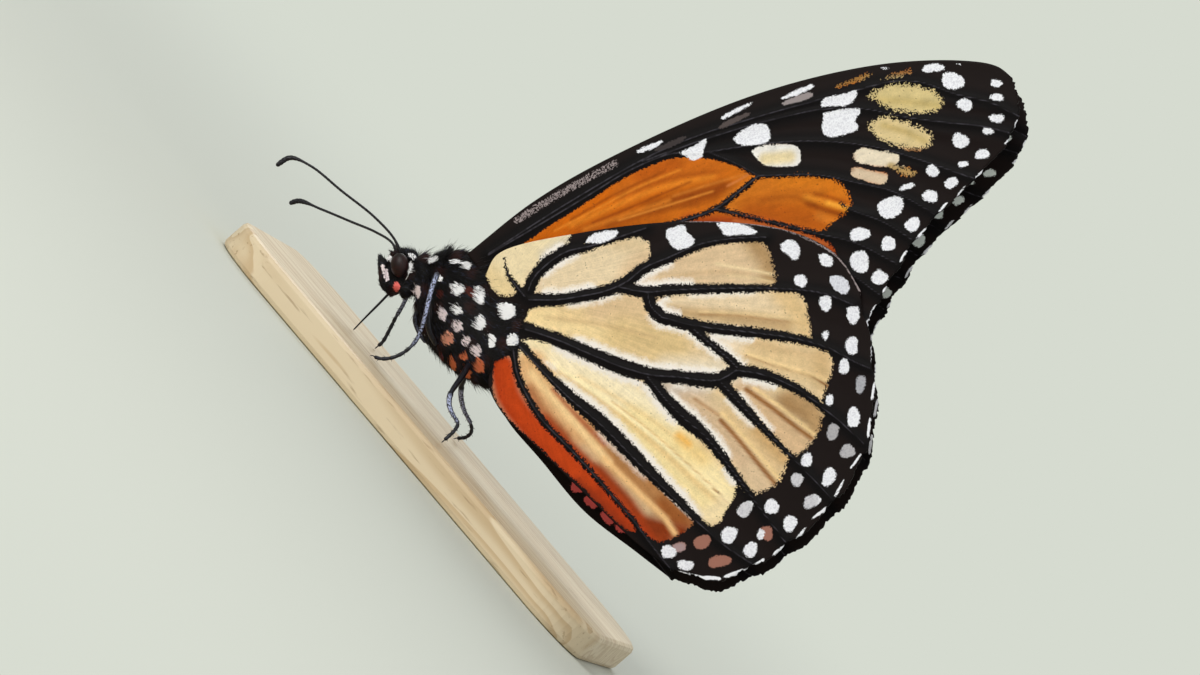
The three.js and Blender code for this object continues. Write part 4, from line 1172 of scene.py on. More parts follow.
# %% [markdown]
# The markings are worked out once for each kind of wing, at every corner of its grid, and stored on
# the mesh as attributes. The left and right wings then share them.

# %% Markings at every corner of the grid
SHEEN_POINTS = 16
STREAK_LONG, STREAK_FINE = 0.25, 60
HINDWING["upper_fields"], HINDWING["upper_dashes"] = 9, 4
# How strong the painted sheen along the front edge is, and the distances from its line over which it fades.
HINDWING["frost"] = (1.3, 0.02, 0.16)
FOREWING["frost"] = (0.95, 0.15, 0.6)
HINDWING["frost_line"] = [(18, 7.3), (24, 7.0), (28.3, 6.15), (32.35, 4.05), (34.45, 1.05), (35.1, -0.6)]
FOREWING["frost_line"] = [(3, 7.5), (7.5, 10.2), (12, 12.6)]


def markings(kind, flat):
    """Every marking at the grid's corners, which lie at flat."""
    band, centre = vein_fields(flat, kind["veins"])
    inwards, ragged = field_marks(flat, kind["fields"])
    upper_inwards, _ = field_marks(flat, kind["fields"][:kind.get("upper_fields")])
    blocks = [smooth_line([*block, block[0]], 3 * len(block))[:-1] for block in kind["blocks"]]
    dashes = dash_ovals(kind["dashes"])
    gap, _ = line_distance(flat, smooth_line(kind["frost_line"], SHEEN_POINTS))
    frost, sheen_from, sheen_to = kind["frost"]
    reach = flat - HINGE
    lengthwise = np.column_stack([STREAK_LONG * np.linalg.norm(reach, axis=1),
                                  STREAK_FINE * np.arctan2(reach[:, 1], reach[:, 0]), np.zeros(len(flat))])

    def tinted(base, strokes):
        return np.hstack([painted(flat, base, strokes), np.ones((len(flat), 1))])

    return {
        "band": band, "centre": centre, "inwards": inwards, "ragged": ragged, "upper_inwards": upper_inwards,
        "upper_spot": spot_field(flat, ovals_of(kind.get("upper_spots", kind["spots"]))),
        "lengthwise": lengthwise,
        "spot": spot_field(flat, ovals_of(kind["spots"]) + blocks),
        "dash": spot_field(flat, dashes),
        "upper_dash": spot_field(flat, dashes[:kind.get("upper_dashes")]),
        "dim": spot_field(flat, ovals_of(kind["dim_spots"])),
        "rim": rim_widths(flat, kind.get("rims", [])),
        "frost": frost * (1 - smoothstep(gap, sheen_from, sheen_to)),
        "ground": tinted(kind["base"], kind["strokes"]),
        "dim_tint": tinted(kind["dim_base"], kind["dim_strokes"]),
        "spot_tint": tinted((255, 255, 255), kind.get("spot_strokes", [])),
        "relief": relief_of(flat, kind, centre),
    }


def grid_sheet(name, counts):
    """A flat grid, and the place of each corner in it: from root to rim, and from inner edge to costa."""
    select_only()
    bpy.ops.mesh.primitive_grid_add(x_subdivisions=counts[0], y_subdivisions=counts[1], size=1)
    made = bpy.context.object
    made.name = name
    return made, (corners_of(made.data)[:, :2] + 0.5).T


for kind in (HINDWING, FOREWING):
    pattern, (u, v) = grid_sheet("pattern", kind["grid"])
    kind["plain"] = stretched(kind["edges"], u, v)
    kind["marks"] = markings(kind, kind["plain"])
    bpy.data.meshes.remove(pattern.data)
print("markings:", ", ".join(FOREWING["marks"]))

# %% [markdown]
# Each wing is its grid, carried to its place beside the body and given a thin wall. The CAD solid
# is half a millimetre thick; the real wing is far thinner, so the sheet lies at the side of that
# solid where the two wings of a pair come closest.

# %% Wing sheets
SHEET, SOLID = 0.16, 0.5
RIM_RAGGED = 0.07
RIM_FROM = 0.992
MAP_STEP = 1.02


def rim_noise(count):
    """How far each corner of the rim stands out or in: the fringe of scales is never quite even."""
    noise = np.random.default_rng(17).normal(0, RIM_RAGGED, count)
    return noise.clip(-2 * RIM_RAGGED, 2 * RIM_RAGGED)


def wing_sheet(name, kind, side, lean, flare=False):
    """One wing. side is -1 for left, lean is -1 or 1 for the side of the solid that it lies at."""
    sheet, (u, v) = grid_sheet(name, kind["grid"])
    flat = stretched(flared(kind["edges"]), u, v) if flare else kind["plain"]
    flat = flat + (rim_noise(len(flat)) * smoothstep(u, RIM_FROM, 1.0))[:, None] * unit(flat - WING_HEART)
    gap = kind["root_gap"] + kind["spread"] * np.linalg.norm(flat - HINGE, axis=1)
    gap += lean * (SOLID - SHEET) / 2 + kind["marks"]["relief"]
    turn = kind["turn"] if side > 0 else 0.0
    x, z = (flat - HINGE).T
    c, s = math.cos(turn), math.sin(turn)
    drawn = np.column_stack([HINGE[0] + x * c - z * s, side * gap, HINGE[1] + z * c + x * s])
    place_corners(sheet.data, to_world(drawn))
    store(sheet.data, "flat", np.column_stack([kind["plain"], np.zeros(len(flat))]))
    for mark, values in kind["marks"].items():
        if mark != "relief":
            store(sheet.data, mark, values)
    if side > 0:
        edit_all(bpy.ops.mesh.flip_normals)
    sheet.data.materials.append(under_finish)
    sheet.data.materials.append(upper_finish)
    apply_modifier(sheet, "wall", "SOLIDIFY", thickness=SHEET * MM, offset=-1,
                   material_offset=1, material_offset_rim=0)
    bpy.ops.object.shade_smooth()
    lay_out_bake_map(sheet.data, kind["plain"])
    return sheet


# %% Map for baking
def lay_out_bake_map(mesh, plain):
    """A flat map for baking: the underside on the left half, the upper side on the right."""
    count = len(plain)
    low, high = plain.min(axis=0), plain.max(axis=0)
    spread = (plain - low) / (high - low).max()
    both = np.vstack([spread, spread + [MAP_STEP, 0]]) / (2 * MAP_STEP)
    mesh.uv_layers.remove(mesh.uv_layers[0])
    layer = mesh.uv_layers.new(name="OFBake")
    loops = np.empty(len(mesh.loops), int)
    mesh.loops.foreach_get("vertex_index", loops)
    sizes = np.empty(len(mesh.polygons), int)
    mesh.polygons.foreach_get("loop_total", sizes)
    slots = np.empty(len(sizes), int)
    mesh.polygons.foreach_get("material_index", slots)
    upper = np.repeat(slots == 1, sizes)
    wanted = np.where(upper, loops % count + count, loops % count)
    layer.data.foreach_set("uv", both[wanted].astype(np.float32).ravel())


# %% The four wings
SIDES = ((-1, "left"), (1, "right"))


def finish_piece(piece, slot, *nodes):
    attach(piece, BODY)
    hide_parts(*nodes)
    print(piece.name, "triangles:", sum(len(p.vertices) - 2 for p in piece.data.polygons))


for side, name in SIDES:
    hind = wing_sheet(f"hindwing_{name}_sheet", HINDWING, side, -1, flare=side > 0)
    finish_piece(hind, "hindwings", f"hindwing_{name}")
    fore = wing_sheet(f"forewing_{name}_sheet", FOREWING, side, 1)
    finish_piece(fore, "forewings", f"forewing_{name}")

# %% [markdown]
# ## The body
#
# Head, chest and belly are one skin. It starts as copies of the CAD solids, which already have the
# right outline, with a neck and a waist added to bridge their gaps. A voxel remesh melts them into
# a single closed surface, and the skin then sinks inwards by the depth of the coat.

# %% One skin from the solids of flesh
BODY_MIDDLE = np.array([-2.5, 0.0, -1.15])
BODY_SLOPE = math.radians(-27.6)
TAILWARD = np.array([math.cos(BODY_SLOPE), 0.0, math.sin(BODY_SLOPE)])
BACKWARD_UP = np.array([-math.sin(BODY_SLOPE), 0.0, math.cos(BODY_SLOPE)])
FLESH = ["head", "thorax", "abdomen", "palp_left", "palp_right"]
VOXEL = 0.13
FILLERS = [
    # along the body and up its back, then three radii: neck, throat, nape and waist
    (-5.0, 1.55, (0.9, 1.25, 1.35)), (-4.6, 2.55, (1.2, 1.3, 1.05)), (-5.95, -0.3, (1.05, 1.35, 0.85)),
    (-5.7, 2.55, (0.95, 1.2, 0.95)), (-6.64, 1.27, (1.7, 1.3, 1.75)), (6.2, -1.1, (1.0, 1.5, 1.95)),
]


def body_coordinates(points):
    """How far drawn points are along the body's axis, up its back and to its right."""
    offset = points - BODY_MIDDLE
    return offset @ TAILWARD, offset @ BACKWARD_UP, offset[:, 1]


def ball(along, up, radii):
    """A ball in the body's middle plane, as a filler before the remesh."""
    bpy.ops.mesh.primitive_uv_sphere_add(segments=24, ring_count=12, radius=1)
    made = bpy.context.object
    shape = corners_of(made.data) * np.array(radii)
    middle = BODY_MIDDLE + along * TAILWARD + up * BACKWARD_UP
    drawn = middle + shape[:, [0]] * TAILWARD + shape[:, [2]] * BACKWARD_UP
    drawn[:, 1] += shape[:, 1]
    place_corners(made.data, to_world(drawn))
    return made


def loose_copy(node):
    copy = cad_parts[node].copy()
    copy.data = copy.data.copy()
    bpy.context.collection.objects.link(copy)
    copy.parent = None
    return copy


select_only()
pieces = [loose_copy(node) for node in FLESH] + [ball(*filler) for filler in FILLERS]
select_only(*pieces)
skin = pieces[0]
bpy.ops.object.join()
skin.name = "body_skin"
edit_all(bpy.ops.mesh.remove_doubles, threshold=1e-6)
apply_modifier(skin, "melt", "REMESH", mode="VOXEL", voxel_size=VOXEL * MM)
apply_modifier(skin, "even", "SMOOTH", factor=0.5, iterations=8)
skin.data.materials.clear()
bpy.ops.object.shade_smooth()
print("skin corners:", len(skin.data.vertices))

# %% [markdown]
# The coat is deepest on the chest, shorter on the head and belly, and very short on the palps, the
# two upright feelers before the face. The skin lies below the solids' surface by that depth. The
# belly also gets its rings, which show as faint steps under the scales.

# %% Coat depth and the rings of the belly
HEAD_END, CHEST_END, BELLY_END = -5.0, 6.2, 23.4
# Distances along the body, each with the coat's depth there.
COAT_DEPTHS = [(-9, 0.22), (-7.5, 0.32), (HEAD_END, 0.45), (-3.5, 0.55), (4.0, 0.55), (CHEST_END, 0.42),
               (8, 0.26), (20, 0.22), (BELLY_END, 0.1)]
PALP_DEPTH = 0.1
RINGS = 9
RING_STEP = 0.07
LAST_RING = 0.97


def read_off(values, steps):
    """The height of a line through the steps, each a place and its height, at all values."""
    return np.interp(values, *zip(*steps))


def coat_depth(drawn):
    depth = read_off(body_coordinates(drawn)[0], COAT_DEPTHS)
    palp = smoothstep(-drawn[:, 0], 8.55, 8.95)
    return depth * (1 - palp) + PALP_DEPTH * palp


drawn = to_drawing(corners_of(skin.data))
outwards = corner_normals(skin.data) @ TURN
along = body_coordinates(drawn)[0]
share = np.clip((along - CHEST_END) / (BELLY_END - CHEST_END), 0, 1)
step = RING_STEP * (1 - (share * RINGS) % 1) * (share > 0) * (share < LAST_RING)
sunk = drawn - outwards * (coat_depth(drawn) - step)[:, None]
place_corners(skin.data, to_world(sunk))
select_only(skin)
apply_modifier(skin, "even", "SMOOTH", factor=0.5, iterations=2)
print("deepest coat in mm:", round(float(coat_depth(drawn).max()), 2))

# %% [markdown]
# A monarch's chest and head are black with round patches of white scales, which turn pink and then
# orange towards the belly. Each patch is an oval on the side of the body, the same on both sides.
# One function gives the coat's colour at a place, and skin and fur both ask it.

# %% Markings of the body
WHITE, ROSE, CORAL = srgb(255, 255, 255), srgb(255, 240, 242), srgb(255, 178, 148)
SALMON, EMBER, RUST = srgb(246, 118, 110), srgb(250, 138, 92), srgb(104, 46, 38)
# Painted sheen of a few black hairs.
SHEEN_BLUE = srgb(48, 52, 70)
FUR_BLACK = srgb(15, 12, 14)
FUR_BROWN = srgb(48, 26, 24)
BODY_SPOTS = [
    # colour, then x, z, length, width and angle
    (WHITE, (-4.75, 4.1, 0.85, 0.75, 0)), (WHITE, (-2.5, 3.7, 0.95, 0.5, 0)),
    (WHITE, (-1.5, 3.4, 0.85, 0.85, 0)), (WHITE, (-3.85, 2.1, 0.28, 0.7, 0)),
    (WHITE, (-2.1, 0.95, 1.1, 1.0, 40)), (WHITE, (-0.1, 0.45, 0.75, 1.75, 0)),
    (WHITE, (2.45, -0.95, 1.4, 1.4, 0)), (WHITE, (3.05, -3.6, 0.85, 0.95, 0)),
    (WHITE, (1.15, -3.7, 0.4, 1.1, 0)), (ROSE, (-3.5, -1.3, 0.6, 1.15, 0)),
    (WHITE, (-2.1, -0.95, 0.85, 0.6, 0)), (ROSE, (-2.05, -2.5, 0.8, 0.8, 0)),
    (WHITE, (0.0, -2.15, 0.9, 1.35, -20)), (ROSE, (-1.3, -3.85, 0.4, 0.85, -30)),
    (ROSE, (-0.4, -4.7, 0.75, 0.95, 0)), (CORAL, (-3.1, -3.6, 0.95, 1.0, 0)),
    (EMBER, (-1.6, -5.2, 0.6, 0.55, 0)), (EMBER, (-2.9, -5.75, 0.7, 1.1, 0)),
    (EMBER, (-0.2, -6.05, 0.9, 1.1, 0)), (EMBER, (-1.5, -6.6, 0.85, 0.75, 0)),
    (RUST, (-1.05, 0.8, 0.7, 1.1, 20)), (RUST, (-3.95, 0.6, 0.5, 0.8, 0)),
    (RUST, (-4.1, -5.05, 0.6, 0.6, 0)), (ROSE, (-9.4, 2.85, 0.3, 1.7, 17)),
    (WHITE, (-8.92, 4.18, 0.5, 0.4, 20)), (SALMON, (-8.28, 1.62, 0.72, 0.8, 0)),
    (WHITE, (-6.98, 3.42, 0.46, 1.1, 8)), (WHITE, (-7.0, 4.47, 0.5, 0.34, -20)),
    (ROSE, (-6.2, 0.85, 0.5, 1.2, 12)),
]
SPOTS_FROM = 0.25
BELLY_SPOT = 0.42
BELLY_ROWS = (0.55, 1.6, 2.35)


def body_tint(drawn, rng, blur):
    """Colour of the coat at drawn places. blur is how ragged the patches' edges are, in mm."""
    flat = drawn[:, [0, 2]] + rng.normal(0, blur, (len(drawn), 2))
    brown = smoothstep(np.sin(2.1 * flat[:, 0] + 0.7) * np.sin(1.9 * flat[:, 1] - 0.4), 0.1, 0.9)
    colour = np.array(FUR_BLACK) + (np.array(FUR_BROWN) - np.array(FUR_BLACK)) * brown[:, None]
    for number, (tint, spot) in enumerate(BODY_SPOTS):
        inside = spot_field(flat, [oval(*spot, number)]) < 0
        colour[inside & (np.abs(drawn[:, 1]) > SPOTS_FROM)] = tint
    along, up, side = body_coordinates(drawn)
    ring = (along - CHEST_END) / (BELLY_END - CHEST_END) * RINGS
    angle = np.arctan2(side, up + 1.2)
    for level in BELLY_ROWS:
        gap = np.hypot((ring % 1 - 0.45) * (BELLY_END - CHEST_END) / RINGS, (np.abs(angle) - level) * 1.5)
        gap = gap + rng.normal(0, blur, len(gap))
        colour[(along > CHEST_END + 1.6) & (gap < BELLY_SPOT)] = WHITE
    return colour


rng = np.random.default_rng(11)
store(skin.data, "tint", body_tint(to_drawing(corners_of(skin.data)), rng, 0.02))

skin_finish, tree, shader = new_material("body_skin")
grain = add_node(tree, "ShaderNodeTexNoise", {
    "Vector": add_node(tree, "ShaderNodeTexCoord").outputs["Object"], "Scale": 9000.0, "Detail": 3.0})
darker = soft_step(tree, grain.outputs["Fac"], 0.3, 0.7)
grained = mixed(tree, darker, attribute(tree, "tint", "Color"), SCALE_BLACK)
tree.links.new(grained, shader.inputs["Base Color"])
set_surface(shader, 0.7, 0.15)
add_bump(tree, shader, grain.outputs["Fac"], 0.4, 0.00005)
skin.data.materials.append(skin_finish)
finish_piece(skin, "body_scales", *FLESH)

# %% [markdown]
# Fur is made of thousands of thin tapered tufts. Each is three-sided, bends once and ends in a
# point, and all of them are joined into one mesh, because the export keeps only real geometry. The
# tufts grow from random places spread evenly over the skin.

# %% Places for tufts
TUFT_RING = [(math.cos(a), math.sin(a)) for a in (math.pi / 2, math.pi * 7 / 6, math.pi * 11 / 6)]
TUFT_FACES = np.array([[0, 4, 1], [0, 3, 4], [1, 5, 2], [1, 4, 5], [2, 3, 0], [2, 5, 3],
                       [3, 6, 4], [4, 6, 5], [5, 6, 3], [2, 0, 1]])
TUFT_CORNERS = 7
TUFT_RISE = np.array([0, 0, 0, 0.6, 0.6, 0.6, 1.0])
TUFT_PATCH = 0.0015 * np.array([[-1, -1], [1, -1], [0, -0.6], [-0.8, 0.4], [0.8, 0.4], [0, 0.2], [0, 1]])
DROOP, ROOT_DEPTH, ROOT_SHADE, MIDDLE_WIDTH = 0.25, 0.06, 0.45, 0.42
# Distances along the body, each with the height of its middle there.
BODY_MIDDLES = [(-8, 1.2), (-4, 1.8), (0, 0.6), (4, -0.6), (8, -1.0), (23, -0.9)]


def triangle_corners(mesh):
    mesh.calc_loop_triangles()
    triangles = np.empty(len(mesh.loop_triangles) * 3, int)
    mesh.loop_triangles.foreach_get("vertices", triangles)
    return triangles.reshape(-1, 3)


def scattered(mesh, weight, count, rng):
    """Random places over a mesh, with their normals, thicker where the weight is larger."""
    places = to_drawing(corners_of(mesh))
    normals = corner_normals(mesh) @ TURN
    triangles = triangle_corners(mesh)
    a, b, c = (places[triangles[:, k]] for k in range(3))
    area = np.linalg.norm(np.cross(b - a, c - a), axis=1) / 2
    chance = area * weight((a + b + c) / 3)
    chosen = rng.choice(len(triangles), count, p=chance / chance.sum())
    first, second = rng.random((2, count))
    over = first + second > 1
    first[over], second[over] = 1 - first[over], 1 - second[over]
    shares = np.column_stack([1 - first - second, first, second])[:, :, None]
    spots = (places[triangles[chosen]] * shares).sum(axis=1)
    facing = (normals[triangles[chosen]] * shares).sum(axis=1)
    return spots, unit(facing)


def body_map(drawn):
    """Where a place lies on the unrolled body: along it, and round it."""
    along, up, side = body_coordinates(drawn)
    turn = np.arctan2(side, up - read_off(along, BODY_MIDDLES)) / (2 * math.pi) + 0.5
    return np.column_stack([0.05 + 0.9 * (along + 12) / 37, 0.05 + 0.9 * turn])


# %% A mesh of tufts
def tuft_mesh(name, roots, facing, heading, length, width, tint, evenness):
    """One mesh of tufts. heading is the direction each grows in, facing the skin's normal there.

    evenness is how much of a tuft's shading comes from the skin's normal instead of its own."""
    count = len(roots)
    length, width = length[:, None], width[:, None]
    heading = unit(heading)
    sideways = unit(np.cross(heading, facing))
    across = np.cross(sideways, heading)
    middle = roots + heading * length * 0.5
    bent = unit(heading - facing * DROOP)
    corners = np.empty((count, TUFT_CORNERS, 3))
    normals = np.empty((count, TUFT_CORNERS, 3))
    for k, (c, s) in enumerate(TUFT_RING):
        out = sideways * c + across * s
        corners[:, k] = roots - facing * ROOT_DEPTH + out * width / 2
        corners[:, 3 + k] = middle + out * width * MIDDLE_WIDTH
        normals[:, k] = normals[:, 3 + k] = out
    corners[:, 6] = middle + bent * length * 0.5
    normals[:, 6] = across
    share = evenness[:, None, None]
    normals = unit(normals * (1 - share) + facing[:, None, :] * share)
    faces = (np.arange(count)[:, None, None] * TUFT_CORNERS + TUFT_FACES).reshape(-1, 3)
    mesh = bpy.data.meshes.new(name)
    mesh.vertices.add(count * TUFT_CORNERS)
    mesh.loops.add(faces.size)
    mesh.polygons.add(len(faces))
    mesh.loops.foreach_set("vertex_index", faces.ravel().astype(np.int32))
    mesh.polygons.foreach_set("loop_start", np.arange(0, faces.size, 3, dtype=np.int32))
    place_corners(mesh, to_world(corners.reshape(-1, 3)))
    mesh.validate()
    mesh.normals_split_custom_set_from_vertices((normals.reshape(-1, 3) @ TURN.T).tolist())
    shade = 1 - ROOT_SHADE * (1 - evenness[:, None]) * (1 - TUFT_RISE)
    colours = tint[:, None, :] * np.dstack([shade, shade, shade, np.ones_like(shade)])
    store(mesh, "tint", colours.reshape(-1, 4))
    layer = mesh.uv_layers.new(name="OFBake")
    both = (body_map(roots)[:, None, :] + TUFT_PATCH).reshape(-1, 2)
    layer.data.foreach_set("uv", both[faces.ravel()].astype(np.float32).ravel())
    made = bpy.data.objects.new(name, mesh)
    bpy.context.collection.objects.link(made)
    return made


fur_finish, tree, shader = new_material("fur")
tree.links.new(attribute(tree, "tint", "Color"), shader.inputs["Base Color"])
set_surface(shader, 0.45, 0.2)
print("tuft faces:", len(TUFT_FACES))

# %% [markdown]
# The lie of the coat: on the back of the chest the hairs stand up in a crest, on its sides they
# sweep back and down, and below it they hang. Beside the hindwing's front edge they stand up and
# reach over it. On the head they point forwards and up. The belly's scales lie flat towards the
# tail.

# %% Lie and length of the coat
LONG_SHARE, SHEEN_SHARE = 0.08, 0.07
CREST_TUFTS = [-6.3, -5.3, -4.0]
# Distances along the body, each with the length of its hairs there.
COAT_LENGTHS = [(-9, 0.42), (-6.5, 0.6), (-4.6, 0.85), (-2, 0.95), (3, 0.9), (5.5, 0.75), (8, 0.42),
                (23, 0.3)]
PALP_LENGTH = 0.3
WING_EDGE = smooth_line([(-1.5, 4.6), (-0.5, 2.4), (0.4, 0.4), (0.35, -1.8), (0.5, -3.8), (0.9, -5.4)], 24)
# Marked tufts against the others: length, breadth, how far they are raised and pressed down.
MARK_LENGTH, MARK_BREADTH, MARK_RAISED, MARK_PRESSED = 0.6, 2.3, 0.15, 0.12


def beside_wing(drawn):
    """1 beside the front edge of the hindwing, 0 further off."""
    gap, _ = line_distance(drawn[:, [0, 2]], WING_EDGE)
    return 1 - smoothstep(gap, 0.2, 1.0)


def coat_heading(drawn, facing, rng):
    along = body_coordinates(drawn)[0]
    back = smoothstep(facing @ BACKWARD_UP, 0.2, 0.9)
    under = smoothstep(-(facing @ BACKWARD_UP), 0.2, 0.9)
    head = smoothstep(-along, 5.2, 6.6)
    belly = smoothstep(along, 5.4, 7.0)
    lie = TAILWARD + np.array([0, 0, -0.25])
    lie = lie + head[:, None] * (-1.7 * TAILWARD + np.array([0, 0, 0.55]))
    lift = 0.35 + 0.95 * back + 0.45 * under - 0.05 * head + 0.7 * beside_wing(drawn)
    lift = lift * (1 - belly) + 0.16 * belly
    lie = lie - facing * (lie * facing).sum(axis=1, keepdims=True)
    heading = unit(lie) + facing * lift[:, None]
    return heading + rng.normal(0, 0.16, heading.shape)


def coat_length(drawn, facing, rng):
    along, up, _ = body_coordinates(drawn)
    length = read_off(along, COAT_LENGTHS)
    beard = smoothstep(along, 3.0, 4.2) * (1 - smoothstep(along, 5.6, 6.4)) * smoothstep(-up, 3.0, 4.0)
    crest = sum(np.exp(-((drawn[:, 0] - x) / 0.25) ** 2) for x in CREST_TUFTS)
    crest = crest * smoothstep(facing @ BACKWARD_UP, 0.5, 0.85)
    length = length * (1 + 0.7 * beard + 0.7 * crest) * (1 + 0.5 * beside_wing(drawn))
    palp = smoothstep(-drawn[:, 0], 8.5, 8.9)
    length = length * (1 - palp) + PALP_LENGTH * palp
    return length * rng.uniform(0.7, 1.15, len(drawn))


# %% One coat
def coat(name, inside, count, width, seed):
    """A coat over the part of the skin where `inside` is true."""
    rng = np.random.default_rng(seed)
    roots, facing = scattered(skin.data, inside, count, rng)
    heading = coat_heading(roots, facing, rng)
    length = coat_length(roots, facing, rng)
    breadth = width * rng.uniform(0.7, 1.3, count)
    long_ones = rng.random(count) < LONG_SHARE
    length[long_ones] *= 1.7
    breadth[long_ones] *= 0.6
    coat_piece(name, roots, facing, heading, length, breadth, rng)


def coat_piece(name, roots, facing, heading, length, breadth, rng):
    """Tufts with the body's markings. Marked ones are short, flat and evenly lit scales."""
    count = len(roots)
    tint = body_tint(roots + unit(heading) * length[:, None] * 0.7, rng, 0.045)
    marked = tint[:, :3].max(axis=1) > 0.3
    length = np.where(marked, MARK_LENGTH * length, length)
    breadth = np.where(marked, MARK_BREADTH * breadth, breadth)
    roots = roots + facing * np.where(marked, MARK_RAISED, 0)[:, None]
    heading = unit(heading) - facing * np.where(marked, MARK_PRESSED, 0)[:, None]
    # A few dark tufts are painted blue-grey: a painted sheen of glossy hair.
    sheen_tufts = ~marked & (rng.random(count) < SHEEN_SHARE)
    tint[sheen_tufts] = SHEEN_BLUE
    tint[:, :3] *= np.where(marked, rng.uniform(0.95, 1.0, count), rng.uniform(0.6, 1.5, count))[:, None]
    made = tuft_mesh(name, roots, facing, heading, length, breadth, tint, np.where(marked, 1.0, 0.45))
    made.data.materials.append(fur_finish)
    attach(made, BODY)
    print(name, "triangles:", len(made.data.polygons))


# %% Coats of chest, head and belly
def zone(first, last, side=0):
    def weight(drawn):
        along, _, across = body_coordinates(drawn)
        inside = (along >= first) & (along < last)
        if side:
            inside &= across * side > 0
        return inside.astype(float)
    return weight


EYE_CENTRE = np.array([-7.93, 1.25, 3.48])
EYE_RADII = np.array([0.84, 0.78, 1.12])
BARE_PART = 0.84


def head_zone(drawn):
    """The head, apart from the skin under its eyes."""
    reach = np.hypot(*((drawn - EYE_CENTRE) / EYE_RADII)[:, [0, 2]].T)
    return zone(-12, HEAD_END)(drawn) * ((reach > BARE_PART) | (np.abs(drawn[:, 1]) < 0.7))


coat("coat_chest_left", zone(HEAD_END, CHEST_END, -1), 17000, 0.08, 21)
coat("coat_chest_right", zone(HEAD_END, CHEST_END, 1), 17000, 0.08, 22)
coat("coat_head", head_zone, 14000, 0.055, 23)
coat("coat_belly", zone(CHEST_END, 25), 13000, 0.11, 24)

# %% [markdown]
# The fur of the chest runs on over the root of each hindwing and hides where wing and body meet.
# Those tufts grow from the sheet itself and point away from the body. Where a white spot lies on
# the wing's root, they are white too.

# %% Fur on the wing roots
ROOT_PATCH = np.array([(0.1, 0.6), (0.9, 0.3), (1.9, 0.0), (3.2, -0.2), (3.8, -0.9), (3.6, -2.2),
                       (3.3, -3.3), (3.1, -4.3), (2.3, -4.7), (1.1, -5.3), (0.7, -4), (0.3, 0)])
ROOT_TUFTS = 3600
ROOT_LENGTHS = [(0.5, 0.75), (3.8, 0.35)]
for side, name in SIDES:
    rng = np.random.default_rng(31 + side)
    sheet = bpy.data.objects[f"hindwing_{name}_sheet"]
    places = to_drawing(corners_of(sheet.data))
    outermost = places[:, 1] * side > HINDWING["root_gap"] - SOLID / 2
    close = places[outermost & (outline_distance(places[:, [0, 2]], ROOT_PATCH) < 0)]
    roots = close[rng.integers(0, len(close), ROOT_TUFTS)]
    roots = roots + rng.normal(0, 0.05, roots.shape) * (1, 0, 1)
    roots[:, 0] -= rng.uniform(0, 0.45, ROOT_TUFTS)
    facing = np.tile([0.0, side, 0.0], (ROOT_TUFTS, 1))
    heading = np.array([1.0, 0.3 * side, -0.2]) + rng.normal(0, 0.2, roots.shape)
    length = read_off(roots[:, 0], ROOT_LENGTHS) * rng.uniform(0.7, 1.2, ROOT_TUFTS)
    breadth = 0.075 * rng.uniform(0.7, 1.3, ROOT_TUFTS)
    coat_piece(f"coat_wing_root_{name}", roots, facing, heading, length, breadth, rng)

# %% [markdown]
# ## Eyes, feelers and legs
#
# A compound eye is a bulging dome of thousands of facets. They are too fine to model one by one,
# so a ball gets the shape and a cell pattern in its bump gives the facets' glitter.

# %% Eyes
EYE_BLACK, EYE_RED, SEAM_BLACK = srgb(20, 4, 5), srgb(42, 6, 8), srgb(12, 4, 5)
FACETS_PER_METRE, CLOUDS_PER_METRE = 11000.0, 900.0

eye_finish, tree, shader = new_material("compound_eye")
place = add_node(tree, "ShaderNodeTexCoord").outputs["Object"]
facets = add_node(tree, "ShaderNodeTexVoronoi",
                  {"Vector": place, "Scale": FACETS_PER_METRE, "Randomness": 0.25})
cloud = add_node(tree, "ShaderNodeTexNoise", {"Vector": place, "Scale": CLOUDS_PER_METRE, "Detail": 2.0})
tone = mixed(tree, soft_step(tree, cloud.outputs["Fac"], 0.35, 0.7), EYE_BLACK, EYE_RED)
seam = soft_step(tree, facets.outputs["Distance"], 0.35, 0.7)
tree.links.new(mixed(tree, seam, tone, SEAM_BLACK), shader.inputs["Base Color"])
set_surface(shader, 0.46, 0.26)
add_bump(tree, shader, facets.outputs["Distance"], 0.08, 0.00002, invert=True)

for side, name in SIDES:
    select_only()
    bpy.ops.mesh.primitive_uv_sphere_add(segments=64, ring_count=40, radius=1)
    eye = bpy.context.object
    eye.name = f"eye_{name}_dome"
    bulge = corners_of(eye.data)[:, [0, 2, 1]] * EYE_RADII
    place_corners(eye.data, to_world(bulge + EYE_CENTRE * (1, side, 1)))
    edit_all(bpy.ops.mesh.normals_make_consistent, inside=False)
    bpy.ops.object.shade_smooth()
    eye.data.materials.append(eye_finish)
    finish_piece(eye, "eyes", f"eye_{name}")

# %% [markdown]
# Legs and feelers are jointed tubes. A ball with many rings already has closed ends, so its rings
# are carried along a smooth route, each with its own radius. Knees, ankles and the five small foot
# joints are thicker or thinner places in that radius.

# %% Tubes along a route
ROUTE_POINTS = 400
# The sheens are painted: the shine of scales, mixed into the colour.
HORN_BLACK, LEG_SHEEN, FEELER_SHEEN = srgb(12, 10, 13), srgb(172, 182, 216), srgb(52, 50, 58)
GRAINS_PER_METRE = 7000.0


